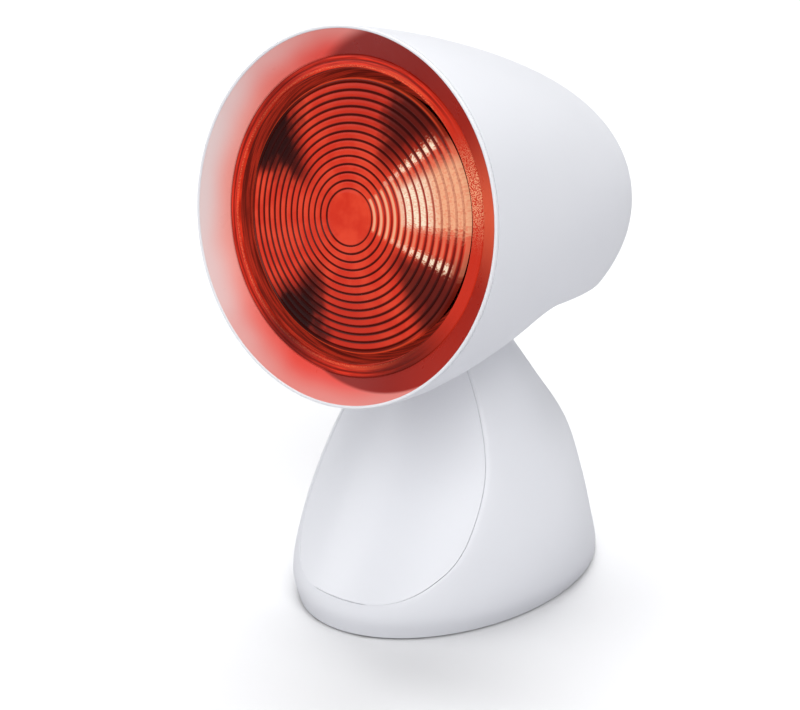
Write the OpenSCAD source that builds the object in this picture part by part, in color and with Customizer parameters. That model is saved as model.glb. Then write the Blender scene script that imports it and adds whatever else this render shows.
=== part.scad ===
// Infrared heat lamp for the table: a hooded head with a red reflector bulb,
// hinged on a hollow white foot. The front is -Y, up is +Z and the origin is
// on the table, in the middle of the whole outline. The head's pieces are drawn
// round the lamp's own axis, where z is the depth behind the mouth and +y points
// down; the foot's pieces are drawn round the middle of the foot.

/* [Shade] */
// Outer radius of the round mouth
mouth_r = 83.5; // [80:0.5:88]
// Length of the full bullet shape, from mouth to tip
shade_len = 185; // [180:1:196]
// Power that sets how early the shade narrows
shade_taper = 1.38; // [1.30:0.02:1.60]
// Power that sets how blunt the tip is
shade_blunt = 2.865; // [2.605:0.02:3.005]
// Wall of the shade
shade_wall = 2.4; // [1.8:0.2:2.8]
// Groove between the shade and the lip of the liner
parting_gap = 0.5; // [0.3:0.1:0.8]
// Distance of the flat underside cut below the lamp's axis
scoop_drop = 30.5; // [29.5:0.5:34]
// Depth where the flat cut and the sloping cut would meet
scoop_corner = 67.5; // [62:0.5:70]
// Slope of the cut towards the mouth, degrees
scoop_slope = 34; // [30:1:38]
// Radius between the flat and the sloping cut
scoop_fillet = 40; // [20:1:48]
// Depth of the uncut band behind the mouth
scoop_band = 16; // [15.5:0.5:19]
// Depth where the cut starts to curve down to that band
scoop_flare = 26; // [24:0.5:29]

/* [Liner] */
// Thickness of the lip that caps the shade's edge
lip_t = 1.5; // [1.2:0.1:2]
// Wall of the liner
liner_wall = 1.4; // [1.2:0.1:1.8]
// Width of the lip's flat edge
lip_w = 1.2; // [0.8:0.1:1.6]
// Depth of the step that carries the collar
step_depth = 9.4; // [8.8:0.2:11]
// Distance of that step's edge inside the mouth's edge
step_inset = 12.6; // [11.6:0.1:14]
// Air between bulb and liner
bulb_air = 4; // [3:0.5:5]
// Radius of the liner's rear flange
flange_r = 39; // [38:0.5:42]
// Thickness of the rear flange
flange_t = 2.4; // [2:0.2:4]

/* [Collar] */
// Width of the polished collar
collar_w = 5.8; // [5:0.1:6.6]
// Depth of its inner edge behind the mouth
collar_front = 7.7; // [7:0.1:8]
// Depth of its outer edge behind the mouth
collar_back = 8.5; // [8.2:0.1:8.8]

/* [Bulb] */
// Air between the bulb's edge and the collar
collar_air = 4.5; // [3.8:0.1:5.2]
// Radius of the domed front glass
dome_r = 330; // [280:10:400]
// Depth of the dome's top behind the mouth
dome_depth = 5.4; // [4.4:0.2:6.4]
// Thickness of the front glass
glass_t = 3.4; // [2.4:0.2:4]
// Number of pressed rings in the front glass
lens_rings = 13; // [8:1:16]
// Radius of the plain middle of the glass
lens_plain_r = 12.5; // [10:0.5:16]
// Depth of the grooves between the rings
ring_groove = 0.7; // [0.4:0.1:1]
// Length from the dome's top to the end contact
bulb_len = 130.2; // [128:0.2:134]
// Wall of the reflector glass
reflector_t = 2.2; // [1.8:0.2:2.8]
// Radius of the screw cap over its thread
cap_r = 13.15; // [13:0.05:13.3]
// Pitch of the cap's thread
cap_pitch = 3.63; // [3.2:0.01:4]

/* [Lampholder] */
// Outer radius of the ceramic body
holder_r = 20.5; // [19:0.5:23]
// Depth of the ceramic body's front edge behind the mouth
holder_front = 110.5; // [110:0.5:112]
// Length of the ceramic body
holder_len = 36.5; // [35.5:0.5:40]
// Sheet of the bracket that carries it
bracket_t = 2; // [1.5:0.25:2.5]
// Width of the bracket's arms
bracket_w = 14; // [10:1:18]

/* [Hinge] */
// Height of the tilt axle above the table
pivot_z = 128.5; // [127:0.5:134]
// Distance of the tilt axle behind the middle of the foot
pivot_y = 0; // [-2:0.5:1]
// Distance of the axle below the lamp's axis
pivot_drop = 52.8; // [50:0.2:56]
// Depth of the axle behind the mouth
pivot_depth = 92.1; // [90:0.1:95]
// Tilt of the head in the position shown, front up, degrees
head_tilt = 11.4; // [5:0.2:15]
// Radius of the tilt axle
axle_r = 4; // [3.5:0.1:4.5]
// Thickness of the axle's head and nut
axle_head_t = 2; // [1.6:0.1:2.2]
// Radius of the knuckle on the column
knuckle_r = 12; // [11.5:0.25:12.5]
// Width of the knuckle
knuckle_w = 22; // [20:0.5:22.5]
// Radius of the hinge lugs
lug_r = 9; // [8.5:0.25:9.5]
// Thickness of each hinge lug
lug_t = 6; // [5.5:0.1:6.2]
// Thickness of the friction washers
washer_t = 0.5; // [0.4:0.1:0.8]
// Radius of the detent ball
ball_r = 2; // [1.5:0.1:2.2]
// Distance of the detent ball from the axle
ball_orbit = 8.5; // [8:0.1:8.8]
// Angle from one tilt position to the next, degrees
detent_step = 10; // [6:1:10]
// Number of tilt positions
detents = 5; // [3:2:5]

/* [Foot] */
// Width of the foot on the table
foot_w = 120; // [112:1:132]
// Length of the foot on the table
foot_d = 172; // [164:1:184]
// Height of the open top of the foot
foot_h = 126; // [124:1:127]
// Wall of the foot
foot_wall = 2.4; // [2:0.2:3]
// Gap between the foot's edge and the table
floor_gap = 1.2; // [0.8:0.2:1.8]
// Height of the front cover's lower point
cover_z = 15; // [13:1:18]
// Thickness of the front cover
cover_t = 2.4; // [2:0.2:2.8]
// Radius of the front cover across its foot
cover_bow = 52.5; // [48:0.5:60]
// Groove all round the front cover
cover_gap = 0.3; // [0.2:0.1:0.5]
// Width of the edge left beside the front cover
edge_w = 1.2; // [1:0.1:1.6]

/* [Column and floor] */
// Width of the inner column
column_w = 20; // [16:1:22]
// Depth of the inner column
column_d = 20; // [16:1:22]
// Radius of the wire channel
channel_r = 3.2; // [2.5:0.1:4]
// Width of the column's base flange
column_foot_w = 64; // [54:1:70]
// Length of the column's base flange
column_foot_d = 50; // [44:1:54]
// Thickness of the column's base flange
column_foot_t = 3.5; // [3:0.25:5]
// Height of the floor plate's underside above the table
plate_z = 2.2; // [2:0.2:3]
// Thickness of the floor plate
plate_t = 2.6; // [2:0.2:3.2]
// Radius of the rubber feet
rubber_r = 7; // [5:0.5:9]
// Radius of the plugs that hold the rubber feet
rubber_plug_r = 2.5; // [2:0.1:3]

/* [Switch and wiring] */
// Height of the switch on the rear wall
switch_z = 44; // [42:1:48]
// Width of the switch bezel
bezel_w = 15; // [14:0.5:17]
// Height of the switch bezel
bezel_h = 21; // [20:0.5:24]
// Thickness of the switch bezel
bezel_t = 2; // [1.6:0.2:2.6]
// Depth of the switch body behind the wall
switch_depth = 12; // [10:0.5:16]
// Angle of the rocker either side of level, degrees
rocker_angle = 7; // [4:1:8]
// Height of the cord inlet
inlet_z = 14; // [13:0.5:16]
// Radius of the moulded inlet port
port_r = 8.5; // [8:0.5:9]
// Radius of the gland's bore, for the cord
gland_bore_r = 3.1; // [2.6:0.1:3.6]
// Length of the terminal block
block_w = 30; // [24:1:36]

/* [Fasteners] */
// Radius of a screw's shank
shank_r = 1.4; // [1.2:0.1:1.6]
// Radius of a screw's head
head_r = 3; // [2.6:0.1:3.3]
// Height of a screw's head
head_h = 1.5; // [1.2:0.1:1.8]
// Radius of a screw boss
boss_r = 4; // [3.6:0.1:4.4]

/* [Fits] */
// Play of a screw in its pilot hole
screw_play = 0.05; // [0.02:0.01:0.1]
// Running play of the axle in its bores
axle_play = 0.06; // [0.03:0.01:0.1]
// Clearance between fixed neighbours
fit_gap = 0.4; // [0.3:0.05:0.6]
// Clearance of a part that moves
move_gap = 0.6; // [0.5:0.1:1]

/* [Hidden] */
$fn = 96;
eps = 0.01;
beyond = 200;

// ---- shapes shared by the shade and what fits in it ----
bullet_steps = 30;
function bullet_angle(depth, len) = asin(pow(depth / len, shade_taper / 2));
function bullet_point(a, r, len) = [r * pow(cos(a), 2 / shade_blunt), len * pow(sin(a), 2 / shade_taper)];
function bullet(r, len, from) = let(a0 = bullet_angle(from, len))
    [for (i = [0:bullet_steps]) bullet_point(a0 + (90 - a0) * i / bullet_steps, r, len)];
function bullet_r(depth, r, len) = r * pow(1 - pow(depth / len, shade_taper), 1 / shade_blunt);
function reversed(v) = [for (i = [len(v) - 1:-1:0]) v[i]];

step_r = mouth_r - step_inset;
collar_r = step_r - collar_w;
bulb_r = collar_r - collar_air;
shade_front = lip_t + parting_gap;
shade_in_r = mouth_r - shade_wall;
shade_in_len = shade_len - shade_wall;
function shade_in(depth) = bullet_r(depth, shade_in_r, shade_in_len);

flare_end = 80;

// half width of a bullet at a height y beside the axis
function beside(r, y) = sqrt(r * r - y * y);

// ---- bulb ----
dome_edge_r = bulb_r - 0.6;
ring_zone_r = dome_edge_r - 1.2;
function dome(r) = dome_depth + dome_r - sqrt(dome_r * dome_r - r * r);
seam = dome(dome_edge_r) + 3.2;
parabola_len = 84;
neck_r = 21;
neck_depth = seam + parabola_len * (1 - pow(neck_r / bulb_r, 2));
function bowl(depth) = bulb_r * sqrt(1 - (depth - seam) / parabola_len);
cap_end = dome_depth + bulb_len;
contact_t = 1.3;
insulator_t = 3.1;
insulator_front = cap_end - contact_t - insulator_t;
cap_skirt_r = 16.6;
cap_skirt_depth = insulator_front - 27.2;
cap_skirt_len = 4.5;
neck_end_r = cap_skirt_r - 0.7;
neck_end_depth = cap_skirt_depth + 2;

// ---- liner ----
funnel_from = step_depth;
funnel_to = flange_front();
function flange_front() = neck_depth - 2;
function funnel_in(depth) = bowl(max(depth, seam)) + bulb_air;
function funnel_out(depth) = funnel_in(depth) + liner_wall;
funnel_steps = 12;
flange_back = funnel_to + flange_t;
flange_cut = scoop_drop - 4.5;
liner_boss_front = 28;
liner_boss_r = funnel_out(liner_boss_front) + 1.3;
shade_lug_front = 44.5;
shade_lug_t = 3;
liner_boss_angles = [-90, 14, 166];

// ---- lampholder ----
holder_bore_r = cap_r + 1.3;
holder_floor = cap_end + 3.4;
holder_back = holder_front + holder_len;
sleeve_t = 0.8;
sleeve_len = 20;
tongue_t = 0.5;
bracket_arm_x = holder_r + 0.7;
bracket_screw_x = flange_r - 4.5;

// ---- underside cover ----
cover_top_y = scoop_drop - 3;
cover_bottom_y = scoop_drop - 0.1;
cover_front_depth = scoop_corner - 5.5;
lug_x = knuckle_w / 2 + move_gap;
under_screws = [for (s = [-1, 1], d = [0.411 * shade_len, 0.757 * shade_len])
    [s * (beside(shade_in(d), cover_bottom_y) - 5), d]];
boss_top_y = cover_top_y - 12;

// ---- foot ----
station = foot_h / 126 * [0, 12, 30, 50, 75, 100, 126];
half_w = foot_w / 120 * [60, 65, 66, 63, 54.5, 40.5, 23.5];
front_d = foot_d / 172 * [86, 87, 77.5, 65, 51, 42, 32.5];
rear_d = foot_d / 172 * [86, 77, 67.5, 61, 54, 37.5, 20.8];
face_z = foot_h / 126 * [15, 30, 50, 75, 100, 126];
face_y = foot_d / 172 * [86.2, 75.7, 62.2, 45.7, 31.7, 20.5];
function rise(k, v, i) = let(n = len(k) - 1, a = max(i - 1, 0), b = min(i + 1, n))
    (v[b] - v[a]) / (k[b] - k[a]);
function span(z, k) = max([for (i = [0:len(k) - 2]) if (i == 0 || z >= k[i]) i]);
function blend(z, k, v) = let(i = span(z, k), h = k[i + 1] - k[i], t = (z - k[i]) / h)
    v[i] * (1 + 2 * t) * (1 - t) * (1 - t) + h * rise(k, v, i) * t * (1 - t) * (1 - t)
    + v[i + 1] * t * t * (3 - 2 * t) - h * rise(k, v, i + 1) * t * t * (1 - t);
function wall_w(z, inset = 0) = blend(z, station, half_w) - inset;
function wall_front(z, inset = 0) = blend(z, station, front_d) - inset;
function wall_rear(z, inset = 0) = blend(z, station, rear_d) - inset;

// the front cover's face: distance in front of the origin at the middle, and its bow
function face_bow(z) = 1 / (2 * (cover_bow + 0.14 * (z - cover_z)));
function face(z, x, inset = 0) = -(blend(z, face_z, face_y) - inset) + face_bow(z) * x * x;

// half width of the face where it meets the wall at height z
function crease_x(z, wall_in = 0, face_in = 0) =
    let(w = wall_w(z, wall_in), f = wall_front(z, wall_in), y = blend(z, face_z, face_y) - face_in,
        k = face_bow(z) * w * w, b = f * f - 2 * y * k, c = y * y - f * f)
    w * sqrt(max(0, (-b + sqrt(max(0, b * b - 4 * k * k * c))) / (2 * k * k)));

rear_points = 44;
face_points = 18;
edge_recess = cover_t + 0.2;
seat_inset = edge_recess;
hollow_inset = seat_inset + foot_wall;
start_z = cover_z + 1.4;
min_half = 3;

// one closed outline of the foot at height z, starting at the right-hand crease
function ring(z, wall_in, face_in, edge, faced) =
    let(w = wall_w(z, wall_in), f = wall_front(z, wall_in), b = wall_rear(z, wall_in),
        xc = max(min_half, faced ? crease_x(z, wall_in, edge > 0 ? 0 : face_in) : crease_x(start_z)),
        a0 = acos(xc / w), xf = xc - edge)
    [for (p = concat(
        [for (i = [0:rear_points]) let(a = -a0 + (180 + 2 * a0) * i / rear_points)
            [w * cos(a), (a > 0 && a < 180 ? b : f) * sin(a)]],
        [for (i = [0:face_points]) let(x = -xf + 2 * xf * i / face_points)
            [x, faced ? face(z, x, face_in) : -f * beside(1, x / w)]]))
        [p[0], p[1], z]];

level_steps = 18;
face_levels = [for (i = [0:level_steps]) start_z + (foot_h - start_z) * pow(i / level_steps, 1.6)];
foot_levels = concat([for (z = [floor_gap, 5, 9, cover_z]) [z, false]], [for (z = face_levels) [z, true]]);

// ---- switch, inlet, floor ----
centre_y = -3.5;
switch_lean = 18;
switch_y = wall_rear(switch_z);
seat_sink = 0.8;
rocker_half = bezel_h / 2 - 2.9;
rocker_w = bezel_w - 4.8;
inlet_y = wall_rear(inlet_z) + 5;
column_top = pivot_z;
column_y = pivot_y;
function hollow_x(z, y) = wall_w(z, foot_wall)
    * beside(1, y / (y > 0 ? wall_rear(z, foot_wall) : wall_front(z, foot_wall)));
foot_boss_y = 30;
foot_boss_x = hollow_x(floor_gap, foot_boss_y) - head_r - 1;
foot_bosses = [for (x = [-1, 1], y = [-1, 1]) [x * foot_boss_x, y * foot_boss_y]];
boss_from = 8;
boss_to = 24;
rib_from = 12;
function rib(y) = hollow_x((boss_to + rib_from) / 2, y) + foot_wall / 2 - foot_boss_x;
rubber_spots = [for (x = [-1, 1], y = [-1, 1])
    [x * 0.283 * foot_w, (y > 0 ? 0.29 : -0.314) * foot_d]];
column_spots = [for (x = [-1, 1], y = [-1, 1])
    [x * (column_foot_w / 2 - 7), column_y + y * (column_foot_d / 2 - 7)]];
plate_top = plate_z + plate_t;
block_y = column_y + column_foot_d / 2 + 12;
clamp_y = block_y + 17;
peg_levels = [foot_h / 3, 0.746 * foot_h];
peg_r = 3;
peg_len = 8;
vent_w = 2.4;
vent_len = 20;
vent_pitch = 6;
vent_front = 52;

white = "#f2f3f6";
steel = "#b9bcc1";
red_glass = "#b3170c";

// ---- helpers ----
// puts a piece drawn round the lamp's axis into place on the tilt axle
module in_head()
    translate([0, pivot_y + centre_y, pivot_z]) rotate([-(90 + head_tilt), 0, 0])
        translate([0, -pivot_drop, -pivot_depth]) children();

// puts a piece drawn round the middle of the foot into place
module in_foot() translate([0, centre_y, 0]) children();

module turned(points) rotate_extrude() polygon(points);

// plate across the lamp: an outline in (down, depth), thick along x
module across(x0, x1) translate([x0, 0, 0]) rotate([90, 0, 90]) linear_extrude(x1 - x0) children();

module along_x(r, x0, x1) translate([x0, 0, 0]) rotate([0, 90, 0]) cylinder(h = x1 - x0, r = r);
module along_y(r, y0, y1) translate([0, y0, 0]) rotate([-90, 0, 0]) cylinder(h = y1 - y0, r = r);

// pan-head screw whose head sits on z = 0 and whose shank points to -z
module screw(len, r = shank_r) {
    cylinder(h = head_h, r = head_r);
    translate([0, 0, -len]) cylinder(h = len + eps, r = r);
}

module pilot(len) translate([0, 0, -len]) cylinder(h = len + eps, r = shank_r + screw_play);

// closed tube of rings: the outside upwards, the inside downwards
module tube(outer, inner) {
    n = len(outer[0]);
    m = len(outer);
    loops = concat(outer, reversed(inner));
    points = [for (l = loops, p = l) p];
    faces = [for (k = [0:2 * m - 1], i = [0:n - 1])
        let(a = k * n, b = ((k + 1) % (2 * m)) * n, j = (i + 1) % n)
        each [[a + i, b + i, a + j], [a + j, b + i, b + j]]];
    polyhedron(points, faces, convexity = 8);
}

// solid stack of slices, each a front row of points followed by its back row reversed
module slab(slices) {
    n = len(slices[0]);
    top = (len(slices) - 1) * n;
    faces = concat(
        [for (k = [0:len(slices) - 2], i = [0:n - 1]) let(a = k * n, b = a + n, j = (i + 1) % n)
            each [[a + i, b + i, a + j], [a + j, b + i, b + j]]],
        [for (i = [0:n / 2 - 2]) let(j = n - 1 - i)
            each [[i, i + 1, j], [i + 1, j - 1, j], [top + i, top + j, top + i + 1], [top + i + 1, top + j, top + j - 1]]]);
    polyhedron([for (l = slices, p = l) p], faces, convexity = 6);
}

module on_rear_wall() translate([0, switch_y, switch_z]) rotate([-(90 - switch_lean), 0, 0]) children();

// ---- head ----
function scoop_outline() = let(t = scoop_fillet * tan(scoop_slope / 2), d0 = scoop_corner + t,
        drop1 = scoop_drop + (scoop_corner - scoop_flare) * tan(scoop_slope),
        r1 = (scoop_flare - scoop_band) / (sin(flare_end) - sin(scoop_slope))) concat(
    [[scoop_drop, beyond], [scoop_drop, d0]],
    [for (i = [1:8]) let(a = scoop_slope * i / 8)
        [scoop_drop + scoop_fillet * (1 - cos(a)), d0 - scoop_fillet * sin(a)]],
    [for (i = [0:8]) let(a = scoop_slope + (flare_end - scoop_slope) * i / 8)
        [drop1 + r1 * (cos(scoop_slope) - cos(a)), scoop_flare - r1 * (sin(a) - sin(scoop_slope))]],
    [[beyond, scoop_band], [beyond, beyond]]);

module shade_shell() color(white) in_head() difference() {
    union() {
        difference() {
            turned(concat(bullet(mouth_r, shade_len, shade_front),
                reversed(bullet(shade_in_r, shade_in_len, shade_front))));
            across(-beyond, beyond) polygon(scoop_outline());
        }
        for (a = liner_boss_angles) rotate(a)
            translate([liner_boss_r - 6, -6, shade_lug_front])
                cube([shade_in(shade_lug_front) - liner_boss_r + 7.4, 12, shade_lug_t]);
        for (p = under_screws) translate([p[0], cover_top_y, p[1]]) rotate([90, 0, 0])
            cylinder(h = cover_top_y - boss_top_y, r = boss_r);
        for (p = under_screws) let(s = sign(p[0]), reach = beside(shade_in(p[1]), cover_top_y - 6) + 1.2)
            translate([s > 0 ? p[0] : -reach, boss_top_y + 2, p[1] - 1.5])
                cube([reach - abs(p[0]), 6, 3]);
    }
    for (a = liner_boss_angles) rotate(a) translate([liner_boss_r, 0, shade_lug_front - 1])
        cylinder(h = shade_lug_t + 2, r = shank_r + 0.5);
    for (p = under_screws) translate([p[0], cover_top_y, p[1]]) rotate([-90, 0, 0]) pilot(10);
}

module shade_liner() color(white) in_head() difference() {
    union() {
        turned(concat(
            [[0, 0], [mouth_r - 0.6, 0], [mouth_r - 0.3, 0.1], [mouth_r - 0.1, 0.4], [mouth_r - 0.1, lip_t],
             [shade_in_r - 0.3, lip_t], [shade_in_r - 0.3, lip_t + 1.6],
             [step_r + liner_wall, step_depth + liner_wall], [funnel_out(funnel_from), step_depth + liner_wall]],
            [for (i = [1:funnel_steps])
                let(d = funnel_from + liner_wall + (funnel_to - funnel_from - liner_wall) * i / funnel_steps)
                [funnel_out(d), d]],
            [[flange_r, funnel_to], [flange_r, flange_back], [0, flange_back]]));
        for (a = liner_boss_angles) rotate(a) translate([liner_boss_r, 0, liner_boss_front])
            cylinder(h = shade_lug_front - liner_boss_front, r = boss_r);
        for (x = [-1, 1]) translate([x * bracket_screw_x, 0, funnel_to - 8]) cylinder(h = 9, r = boss_r);
    }
    turned(concat(
        [[0, -1], [mouth_r - lip_w + 0.2, -1], [mouth_r - lip_w + 0.2, 0], [mouth_r - lip_w - 0.1, 0.15],
         [mouth_r - lip_w - 0.3, 0.5], [step_r, collar_back], [step_r, step_depth]],
        [for (i = [0:funnel_steps]) let(d = funnel_from + (funnel_to - funnel_from) * i / funnel_steps)
            [funnel_in(d), d]],
        [[funnel_in(funnel_to), flange_back + 1], [0, flange_back + 1]]));
    translate([-beyond, flange_cut, funnel_to - 0.5]) cube([2 * beyond, beyond, flange_t + 1]);
    for (a = liner_boss_angles) rotate(a) translate([liner_boss_r, 0, shade_lug_front]) pilot(13);
    for (x = [-1, 1]) translate([x * bracket_screw_x, 0, flange_back]) pilot(9.5);
}

module liner_screws() color(steel) in_head()
    for (a = liner_boss_angles) rotate(a)
        translate([liner_boss_r, 0, shade_lug_front + shade_lug_t]) screw(shade_lug_t + 12);

module reflector_collar() color("#a33a30") in_head() turned([
    [collar_r, step_depth], [collar_r, collar_front + 0.7], [collar_r + 0.2, collar_front + 0.2],
    [collar_r + 0.7, collar_front], [collar_r + 1.3, collar_front + 0.3],
    [step_r - 0.6, collar_back], [step_r - 0.3, step_depth]]);

ring_pitch = (ring_zone_r - lens_plain_r) / lens_rings;
function ring_profile(i) = let(r = lens_plain_r + i * ring_pitch) [
    [r, dome(r) + ring_groove], [r + 0.25 * ring_pitch, dome(r) + 0.12 * ring_groove],
    [r + 0.75 * ring_pitch, dome(r + ring_pitch) - 0.12 * ring_groove]];

module bulb_lens() color(red_glass) in_head() turned(concat(
    [[0, dome_depth], [lens_plain_r - 1, dome(lens_plain_r)]],
    [for (i = [0:lens_rings - 1]) each ring_profile(i)],
    [[ring_zone_r, dome(ring_zone_r) + ring_groove], [ring_zone_r + 0.5, dome(dome_edge_r)],
     [bulb_r, dome(dome_edge_r) + 1.4], [bulb_r, seam - 0.3], [bulb_r - glass_t, seam - 0.3]],
    [for (i = [6:-1:0]) let(r = (bulb_r - glass_t) * i / 6) [r, dome(r) + glass_t + ring_groove]]));

module bulb_reflector() color("#8d1a12") in_head() turned(concat(
    [for (i = [0:14]) let(d = seam + (neck_depth - seam) * i / 14) [bowl(d), d]],
    [[neck_end_r, cap_skirt_depth - 0.5], [neck_end_r, neck_end_depth],
     [neck_end_r - reflector_t, neck_end_depth], [neck_end_r - reflector_t, cap_skirt_depth - 0.5]],
    [for (i = [14:-1:0]) let(d = seam + (neck_depth - seam) * i / 14) [bowl(d) - reflector_t, d]]));

filament_depth = dome_depth + bulb_len / 3;
filament_half = bulb_r / 5.5;
module bulb_filament() color("#c9b98a") in_head() {
    translate([0, 0, filament_depth]) along_x(1.1, -filament_half, filament_half);
    for (x = [-1, 1]) translate([x * (filament_half - 1.5), 0, filament_depth])
        cylinder(h = neck_end_depth - filament_depth, r = 0.7);
}

module bulb_cap() color("#c8b27a") in_head() {
    d0 = cap_skirt_depth + cap_skirt_len + 3;
    turns = floor((insulator_front - d0) / cap_pitch);
    turned(concat(
        [[cap_skirt_r, cap_skirt_depth], [cap_skirt_r, cap_skirt_depth + cap_skirt_len], [cap_r - 1, d0]],
        [for (i = [0:turns - 1]) each [[cap_r, d0 + (i + 0.3) * cap_pitch], [cap_r, d0 + (i + 0.5) * cap_pitch],
            [cap_r - 1, d0 + (i + 0.9) * cap_pitch]]],
        [[cap_r - 1.2, insulator_front], [cap_r - 1.8, insulator_front], [cap_r - 1.8, d0],
         [cap_skirt_r - 0.6, cap_skirt_depth + cap_skirt_len - 0.6], [cap_skirt_r - 0.6, cap_skirt_depth]]));
}

module cap_insulator() color("#20201f") in_head() turned([
    [0, insulator_front - 1.5], [cap_r - 1.9, insulator_front - 1.5], [cap_r - 1.9, insulator_front],
    [5, insulator_front + insulator_t], [0, insulator_front + insulator_t]]);

module cap_contact() color(steel) in_head()
    translate([0, 0, cap_end - contact_t]) cylinder(h = contact_t, r = 4.6);

module lampholder_body() color("#e6e2d8") in_head() difference() {
    turned([[0, holder_floor], [holder_bore_r, holder_floor], [holder_bore_r, holder_front],
        [holder_r - 1.5, holder_front], [holder_r, holder_front + 1.5],
        [holder_r, holder_back - 2], [holder_r - 2, holder_back], [0, holder_back]]);
    for (x = [-7, 7]) translate([x, 0, holder_floor - 1]) cylinder(h = holder_back - holder_floor + 2, r = 1.8);
}

module lampholder_sleeve() color("#cbb26a") in_head() difference() {
    translate([0, 0, holder_front + 1.5]) cylinder(h = sleeve_len, r = holder_bore_r - 0.1);
    translate([0, 0, holder_front + 1]) cylinder(h = sleeve_len + 1, r = holder_bore_r - 0.1 - sleeve_t);
}

module lampholder_contact() color("#cbb26a") in_head() {
    translate([-3, -8, cap_end + 0.15]) cube([6, 14, tongue_t]);
    translate([-3, -8, cap_end + 0.15]) cube([6, tongue_t, holder_floor - cap_end - 0.15]);
    translate([-3, -8, holder_floor - tongue_t]) cube([6, 12, tongue_t]);
}

module lampholder_bracket() color(steel) in_head() difference() {
    union() {
        translate([-bracket_arm_x - bracket_t, -bracket_w / 2, holder_back])
            cube([2 * (bracket_arm_x + bracket_t), bracket_w, bracket_t]);
        for (s = [-1, 1]) {
            translate([s > 0 ? bracket_arm_x : -bracket_arm_x - bracket_t, -bracket_w / 2, flange_back])
                cube([bracket_t, bracket_w, holder_back - flange_back + bracket_t]);
            translate([s > 0 ? bracket_arm_x : -flange_r + 0.5, -bracket_w / 2, flange_back])
                cube([flange_r - 0.5 - bracket_arm_x, bracket_w, bracket_t]);
        }
    }
    for (x = [-1, 1]) translate([x * bracket_screw_x, 0, flange_back - 1])
        cylinder(h = bracket_t + 2, r = shank_r + 0.4);
    for (x = [-7, 7]) translate([x, 0, holder_back - 1]) cylinder(h = bracket_t + 2, r = 2.2);
}

module bracket_screws() color(steel) in_head()
    for (x = [-1, 1]) translate([x * bracket_screw_x, 0, flange_back + bracket_t]) screw(bracket_t + 8.5);

module lug_outline() {
    translate([pivot_drop, pivot_depth]) circle(r = lug_r);
    translate([cover_bottom_y - 1, pivot_depth - lug_r]) square([pivot_drop - cover_bottom_y + 1, 2 * lug_r]);
}

module underside_cover() color(white) in_head() difference() {
    union() {
        intersection() {
            turned(concat([[0, 0]], bullet(shade_in_r - fit_gap, shade_in_len - fit_gap, 1)));
            translate([-beyond, cover_top_y, cover_front_depth])
                cube([2 * beyond, cover_bottom_y - cover_top_y, beyond]);
        }
        for (x = [-lug_x - lug_t, lug_x]) across(x, x + lug_t) lug_outline();
    }
    turned(concat([[0, seam + 2]], [for (i = [0:funnel_steps]) let(d = seam + 2 + (funnel_to - seam) * i / funnel_steps)
        [funnel_out(min(d, funnel_to)) + 1, d]], [[0, funnel_to + 2]]));
    translate([0, pivot_drop, pivot_depth]) along_x(axle_r + axle_play, -beyond, beyond);
    translate([0, pivot_drop - ball_orbit, pivot_depth]) along_x(ball_r + 0.1, 0, beyond);
    for (p = under_screws) translate([p[0], cover_bottom_y, p[1]]) rotate([-90, 0, 0]) {
        translate([0, 0, -5]) cylinder(h = 6, r = shank_r + 0.4);
        translate([0, 0, -head_h]) cylinder(h = head_h + 1, r = head_r + 0.3);
    }
    for (d = [112:9:166]) let(w = 0.62 * beside(shade_in(d), cover_bottom_y))
        translate([-w, cover_top_y - 1, d]) cube([2 * w, 6, 3.4]);
}

module underside_screws() color(steel) in_head()
    for (p = under_screws) translate([p[0], cover_bottom_y - head_h, p[1]]) rotate([-90, 0, 0]) screw(10);

// ---- hinge ----
axle_head_x = lug_x + lug_t;
module tilt_axle() color(steel) in_head() translate([0, pivot_drop, pivot_depth]) difference() {
    union() {
        along_x(axle_r, -axle_head_x - 1, axle_head_x + axle_head_t);
        along_x(axle_r + 2, -axle_head_x - axle_head_t, -axle_head_x);
    }
    translate([-axle_head_x - axle_head_t - 1, -0.6, -beyond / 2]) cube([1.8, 1.2, beyond]);
}

module axle_nut() color(steel) in_head() translate([0, pivot_drop, pivot_depth]) difference() {
    translate([axle_head_x, 0, 0]) rotate([0, 90, 0]) cylinder(h = axle_head_t, r = axle_r + 2.2, $fn = 6);
    along_x(axle_r + axle_play, axle_head_x - 1, axle_head_x + axle_head_t + 1);
}

module friction_washers() color("#3a3a3c") in_head() translate([0, pivot_drop, pivot_depth])
    for (x = [-lug_x, lug_x - washer_t]) difference() {
        along_x(ball_orbit - ball_r - 0.4, x, x + washer_t);
        along_x(axle_r + 0.2, x - 1, x + washer_t + 1);
    }

ball_sink = 0.6;
ball_x = knuckle_w / 2 - ball_sink + ball_r;
module detent_ball() color(steel) in_head()
    translate([ball_x, pivot_drop - ball_orbit, pivot_depth]) sphere(r = ball_r, $fn = 48);

module detent_spring() color(steel) in_head() translate([0, pivot_drop - ball_orbit, pivot_depth])
    difference() {
        along_x(ball_r - 0.2, ball_x + ball_r, axle_head_x - 1.2);
        along_x(ball_r - 0.7, 0, beyond);
    }

module detent_screw() color(steel) in_head() translate([0, pivot_drop - ball_orbit, pivot_depth]) difference() {
    along_x(ball_r + 0.04, axle_head_x - 1.2, axle_head_x);
    translate([axle_head_x - 0.5, -0.3, -3]) cube([1, 0.6, 6]);
}

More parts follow.
